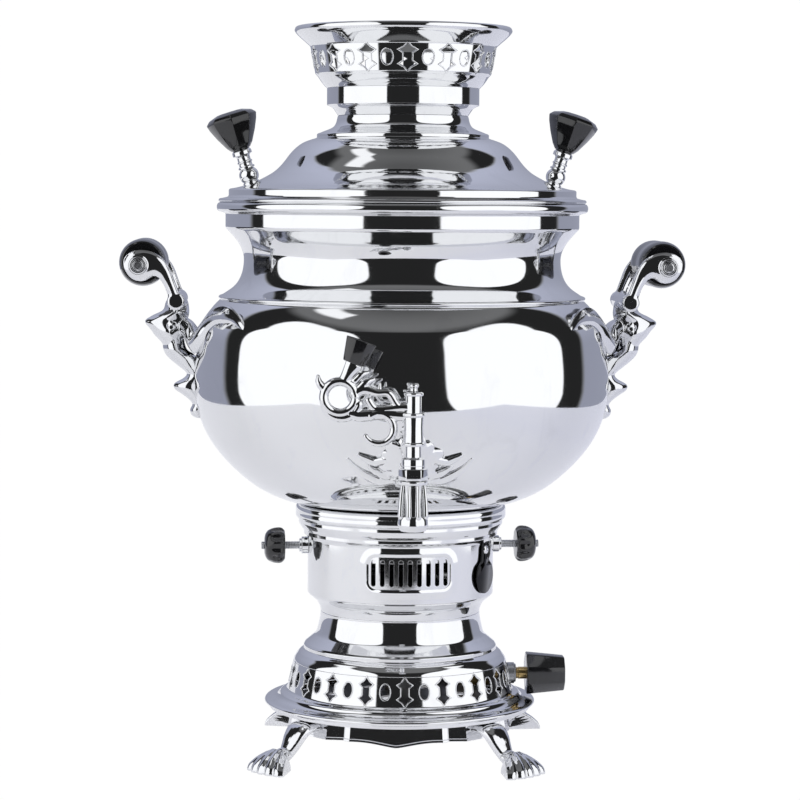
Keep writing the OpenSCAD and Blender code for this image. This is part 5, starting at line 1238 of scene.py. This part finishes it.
# Loops: centre x and z, radius, half width, half thickness, first and last angle, growth along the loop
leverLoops = (
    (bigX, bigZ, 9.2, 2.8, 2.9, 0, 352, (1.0, 1.0)), (bigX + 1.0, bigZ - 1.9, 10.4, 2.8, 2.9, 175, 350, (0.7, 1.0)),
    (smallX, smallZ, 8.8, 2.7, 2.8, -150, 125, (0.6, 1.2)))
strokes = [limb([[x, -tapY, zz, halfWide, halfThick] for x, zz, halfWide, halfThick in points], 18, 5, frontwise)
           for points in leverStrokes]
loops = [ringLimb((x, -tapY, zz), r, half, thick, start, stop, frontwise, taper)
         for x, zz, r, half, thick, start, stop, taper in leverLoops]
lever = fused("tapLever", loops[:2] + strokes[:1] + loops[2:] + strokes[1:], 0.36, 4)
own(lever, chromeTap, "key", "tap_key")
knobLean = math.radians(19)
knob = placed(facetedKnob(13, 18, 14), (-reach + 8, -tapY, leverZ + 19.8), (math.sin(knobLean), 0, math.cos(knobLean)))
own(bevelled("tapKnob", knob, 0.6), black, "key", "tap_key_knob")

# spout: fluted cage over a rounded ring
cage = revolve(*turnedLine(shifted([
    [0, 6], [4.9, 6], [5.0, 2], [6.4, 0, 0], [8.5, 2.4, 60], [8.7, 6.3, 95], [7.7, 9, 120], [6.0, 9]], spoutLow)
    + shifted([[6.0, -2], [8.5, -2], [8.7, 0], [0, 0]], spoutTop), 0.25), 80)
parts = [(*cage[:3], None)]
finRows = ((6.2, spoutTop - 2.4, 1.0, 1.5), (6.9, spoutTop - 8, 1.15, 1.6), (7.5, spoutTop - 15, 1.35, 1.7),
           (7.7, spoutLow + 8.4, 1.5, 1.7))
for i in range(tap["fins"]):
    way = np.append(headingOf(22.5 + 45 * i), 0)
    parts.append(limb([[*(way * r + [0, 0, h]), wide, thick] for r, h, wide, thick in finRows], 14, 4))
own(meshObject("tapSpout", placed(joined(parts), tapAt)), chromeTap, "tank", "spout")

rosette = dict(petals=12, slope=35, y=-120.0)
# A petal: distance along it, lift, half width, half thickness
petalRows = ((5, 3.4, 2.8, 2.2), (9, 3.3, 4.4, 2.0), (13.0, 2.8, 5.4, 1.8), (17.0, 2.2, 4.8, 1.5),
             (20.4, 1.5, 2.6, 1.0))
# leaves that lie on the belly: across, up, half width, half thickness
leaves = ([(9, 0, 2.0, 1.6), (15, 1.0, 2.6, 1.6), (21, -1.6, 2.8, 1.4), (26.5, 0.2, 2.2, 1.2), (31, 2.4, 1.0, 0.8)],
          [(10, -15, 3.2, 1.8), (18, -17, 3.4, 1.7), (26, -13.5, 3.0, 1.5), (32.5, -8.5, 2.2, 1.2),
           (37, -2.5, 1.0, 0.8)],
          [(9, -11, 2.6, 1.6), (15, -11.5, 2.8, 1.5), (21, -8.5, 2.2, 1.3), (25, -5, 1.0, 0.8)])


def rosetteGeo():
    # Petals round the shank on the slope of the belly: face (lift - r^2 / 140) + r along the petal; then the leaves
    c, s = headingOf(rosette["slope"])
    face, up = np.array([0, -c, -s]), np.array([0, -s, c])
    side, centre = np.array([1.0, 0, 0]), np.array([0, rosette["y"], shankZ])
    parts = []
    for i in range(rosette["petals"]):
        across, along = headingOf(30.0 * i + 15.0)
        d = side * across + up * along
        far = 1.12 if i in (7, 8, 9, 10) else 0.96 if i % 2 == 0 else 0.84
        parts.append(limb([[*(centre + face * (lift - (r * far) ** 2 / 140) + d * r * far), wide, thick]
                           for r, lift, wide, thick in petalRows], 18, 5, tuple(face)))
    for turn in (-1, 1):
        for leaf in leaves:
            parts.append(limb([[*(centre + side * turn * x + up * h + face * (2.4 - x * x / 190 - h * h / 160)), wide,
                                thick] for x, h, wide, thick in leaf], 18, 5, tuple(face)))
    collar = turnedLine([[0, -4], [9, -4], [10.2, 0.5, 90], [8.6, 3.8, 130], [7.4, 6.4, 90], [0, 6.4]], 0.4)
    parts.append(placed(revolve(*collar, 64), tuple(centre + [0, 2.0, 0]), frontwise))
    return parts


own(fused("tapRosette", rosetteGeo(), 0.42, 4), chromeTap, "tank", "tap_rosette")
print("stage: tap")

lidKnob = dict(x=95.6, lean=17.6, stem=22.0, radius=16.4, high=24.4, lift=12.2)
stemLong, knobR, knobHigh = lidKnob["stem"], lidKnob["radius"], lidKnob["high"]
stemStations = [
    [0, -0.8], [5.2, -0.8], [5.2, 0.6], [4.6, 1.2, 40], [6.2, 5.2, 90], [4.3, 9.2, 140], [5.2, 9.7], [5.2, 10.7],
    [4.2, 11.3], [4.2, 13], [4.8, 13.4], [4.8, 14.2], [4.2, 14.6], [4.2, stemLong * 0.78, 80],
    [6.2, stemLong * 0.84, 20, 90], [6.2, stemLong * 0.94], [5.2, stemLong], [0, stemLong]]


# eight-sided cup, upside down: shares of its height and radius
cupRows = ((0, 0.37), (0.12, 0.52), (0.41, 0.76), (0.66, 0.93), (0.82, 1), (0.92, 0.85), (1, 0.49))
cup = blockOf(corners(8) * knobR, [(share, stemLong + knobHigh * h) for h, share in cupRows])
for side, sign in (("left", -1), ("right", 1)):
    lean = math.radians(lidKnob["lean"]) * sign
    at = ((sign * lidKnob["x"], 0, z["rim"] + lidKnob["lift"]), (math.sin(lean), 0, math.cos(lean)))
    turnedPiece(side + "LidStem", stemStations, chrome, "lid", side + "_lid_stem", 72, 0.25, at, "chrome_cast")
    own(bevelled(side + "LidKnob", placed(cup, *at), 0.5, 2), black, "lid", side + "_lid_knob")

# what stays as the construction made it
plain = (
    (steel, ("leg_screws", "handle_bolts", "tap_nut", "lid_nuts")),
    (insideSteel, ("base_plate", "mixing_tube", "burner_bracket")),
    (brass, ("gas_valve_body", "jet_holder", "tap_plug")),
    (castIron, ("burner_head", "burner_cap")), (rubber, ("tap_gasket",)))
for look, names in plain:
    for name in names:
        node = frame["nodes"][name]
        node.data.materials.clear()
        node.data.materials.append(look)
print("stage: lid knobs and inner pieces")

studio = dict(floorGlow=0.47, panel=1.25, gap=0.021, behind=0.40, behindHigh=0.63, ceiling=0.16, ceilingHigh=0.09,
              power=2.8, middle=12.5, tall=39.0)


def studioWorld():
    # Light by direction: a is the angle from the camera's side towards +X, e the elevation, both in degrees.
    look = Look("studioWorld", world=True)
    x, y, up = look.axes(look.node("TexCoord", "Generated"))
    a = x.maths("ARCTAN2", y * -1.0) * (180 / math.pi)
    e = up.maths("ARCSINE") * (180 / math.pi)

    def window(value, low, high, soft):
        # 1 between low and high, 0 outside, with a soft step at both
        return value.between(low - soft, low + soft) * (1.0 - value.between(high - soft, high + soft))

    def panel(middle, half):
        # |a - a0|^2.8 / half^2.8 + |e - e0|^2.8 / tall^2.8 < 1, a box of light with round corners
        across = (a - middle).maths("ABSOLUTE") / half
        along = (e - studio["middle"]).maths("ABSOLUTE") / studio["tall"]
        return 1.0 - (across ** studio["power"] + along ** studio["power"]).between(0.95, 1.04)

    sides = panel(-65.5, 38.8) + panel(59.3, 38.4)
    behind = (a.maths("ABSOLUTE") - e * 0.25).between(114.0, 120.0) * (1.0 - e.between(51.0, 57.0))
    behindLight = e.between(5.0, 45.0, studio["behind"], studio["behindHigh"], False)
    ceiling = e.between(50.0, 57.0) * e.between(60.0, 85.0, studio["ceiling"], studio["ceilingHigh"], False)
    patch = window(a, -118.0, -62.0, 3.0) * window(e, 62.0, 71.0, 1.5)
    light = sides * studio["panel"] + behind * behindLight + ceiling + patch
    tint = look.blend(behind, (0.97, 0.98, 1.0, 1), (0.80, 0.84, 1.05, 1))
    return look.ended(look.node("Background", 0, {"Color": tint, "Strength": light + studio["gap"]}))


bpy.context.scene.world = studioWorld()


def plane(name, corners, look):
    # One face of the studio, kept apart from the part
    mesh = bpy.data.meshes.new(name)
    mesh.from_pydata(corners, [], [(0, 1, 2, 3)])
    obj = linked(name, mesh)
    mesh.materials.append(look)
    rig.stage(obj)
    return obj


floorLook = Look("studioFloor")
floorNoise = floorLook.noise(floorLook.place(), 6.0, 3.0)
# painted shade: the floor's glow fades darker and bluer from x = -0.05 m to x = 0.45 m, so the chrome mirrors less
# light on its right side
floorPaintedShade = floorLook.axes(floorLook.place())[0].between(-0.05, 0.45, smooth=False)
floorLook.surface(
    Base_Color=floorLook.blend(floorNoise * 0.2, (0.86, 0.86, 0.88, 1), (0.82, 0.82, 0.84, 1)), Roughness=0.55,
    Emission_Color=floorLook.blend(floorPaintedShade, (1.0, 1.0, 1.02, 1), (0.78, 0.79, 0.92, 1)),
    Emission_Strength=studio["floorGlow"])
floor = plane("floor", [(-1.05, -0.81, 0), (1.05, -0.81, 0), (1.05, 6, 0), (-1.05, 6, 0)], floorLook.owner)
floor.visible_camera = False

backLook = Look("studioBack")
backLook.surface(Base_Color=(0, 0, 0, 1), Roughness=1.0, Emission_Color=(1, 1, 1, 1), Emission_Strength=1.0)
backdrop = plane("backdrop", [(-8, 5.9, -3), (8, 5.9, -3), (8, 5.9, 6), (-8, 5.9, 6)], backLook.owner)
for kind in ("diffuse", "glossy", "transmission", "volume_scatter", "shadow"):
    setattr(backdrop, "visible_" + kind, False)

camera = dict(lens=121.5, away=1.715, height=0.356, azimuth=-2.7, pitch=4.384, yaw=0.028, roll=0.35)
shot = linked("camera", bpy.data.cameras.new("camera"))
shot.data.lens, shot.data.sensor_width = camera["lens"], 36.0
shot.data.clip_start, shot.data.clip_end = 0.05, 40.0
azimuth = math.radians(camera["azimuth"])
shot.location = (math.sin(azimuth) * camera["away"], -math.cos(azimuth) * camera["away"], camera["height"])
turns = ((azimuth + math.radians(camera["yaw"]), "Z"), (math.radians(90 - camera["pitch"]), "X"),
         (math.radians(camera["roll"]), "Z"))
yaw, pitch, roll = (Matrix.Rotation(angle, 4, axis) for angle, axis in turns)
shot.rotation_euler = (yaw @ pitch @ roll).to_euler()
bpy.context.scene.camera = shot

scene = bpy.context.scene
scene.view_settings.view_transform = "Standard"
scene.view_settings.look = "None"
scene.render.film_transparent = False
print("stage: studio")
noteSize("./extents.json", "whole")
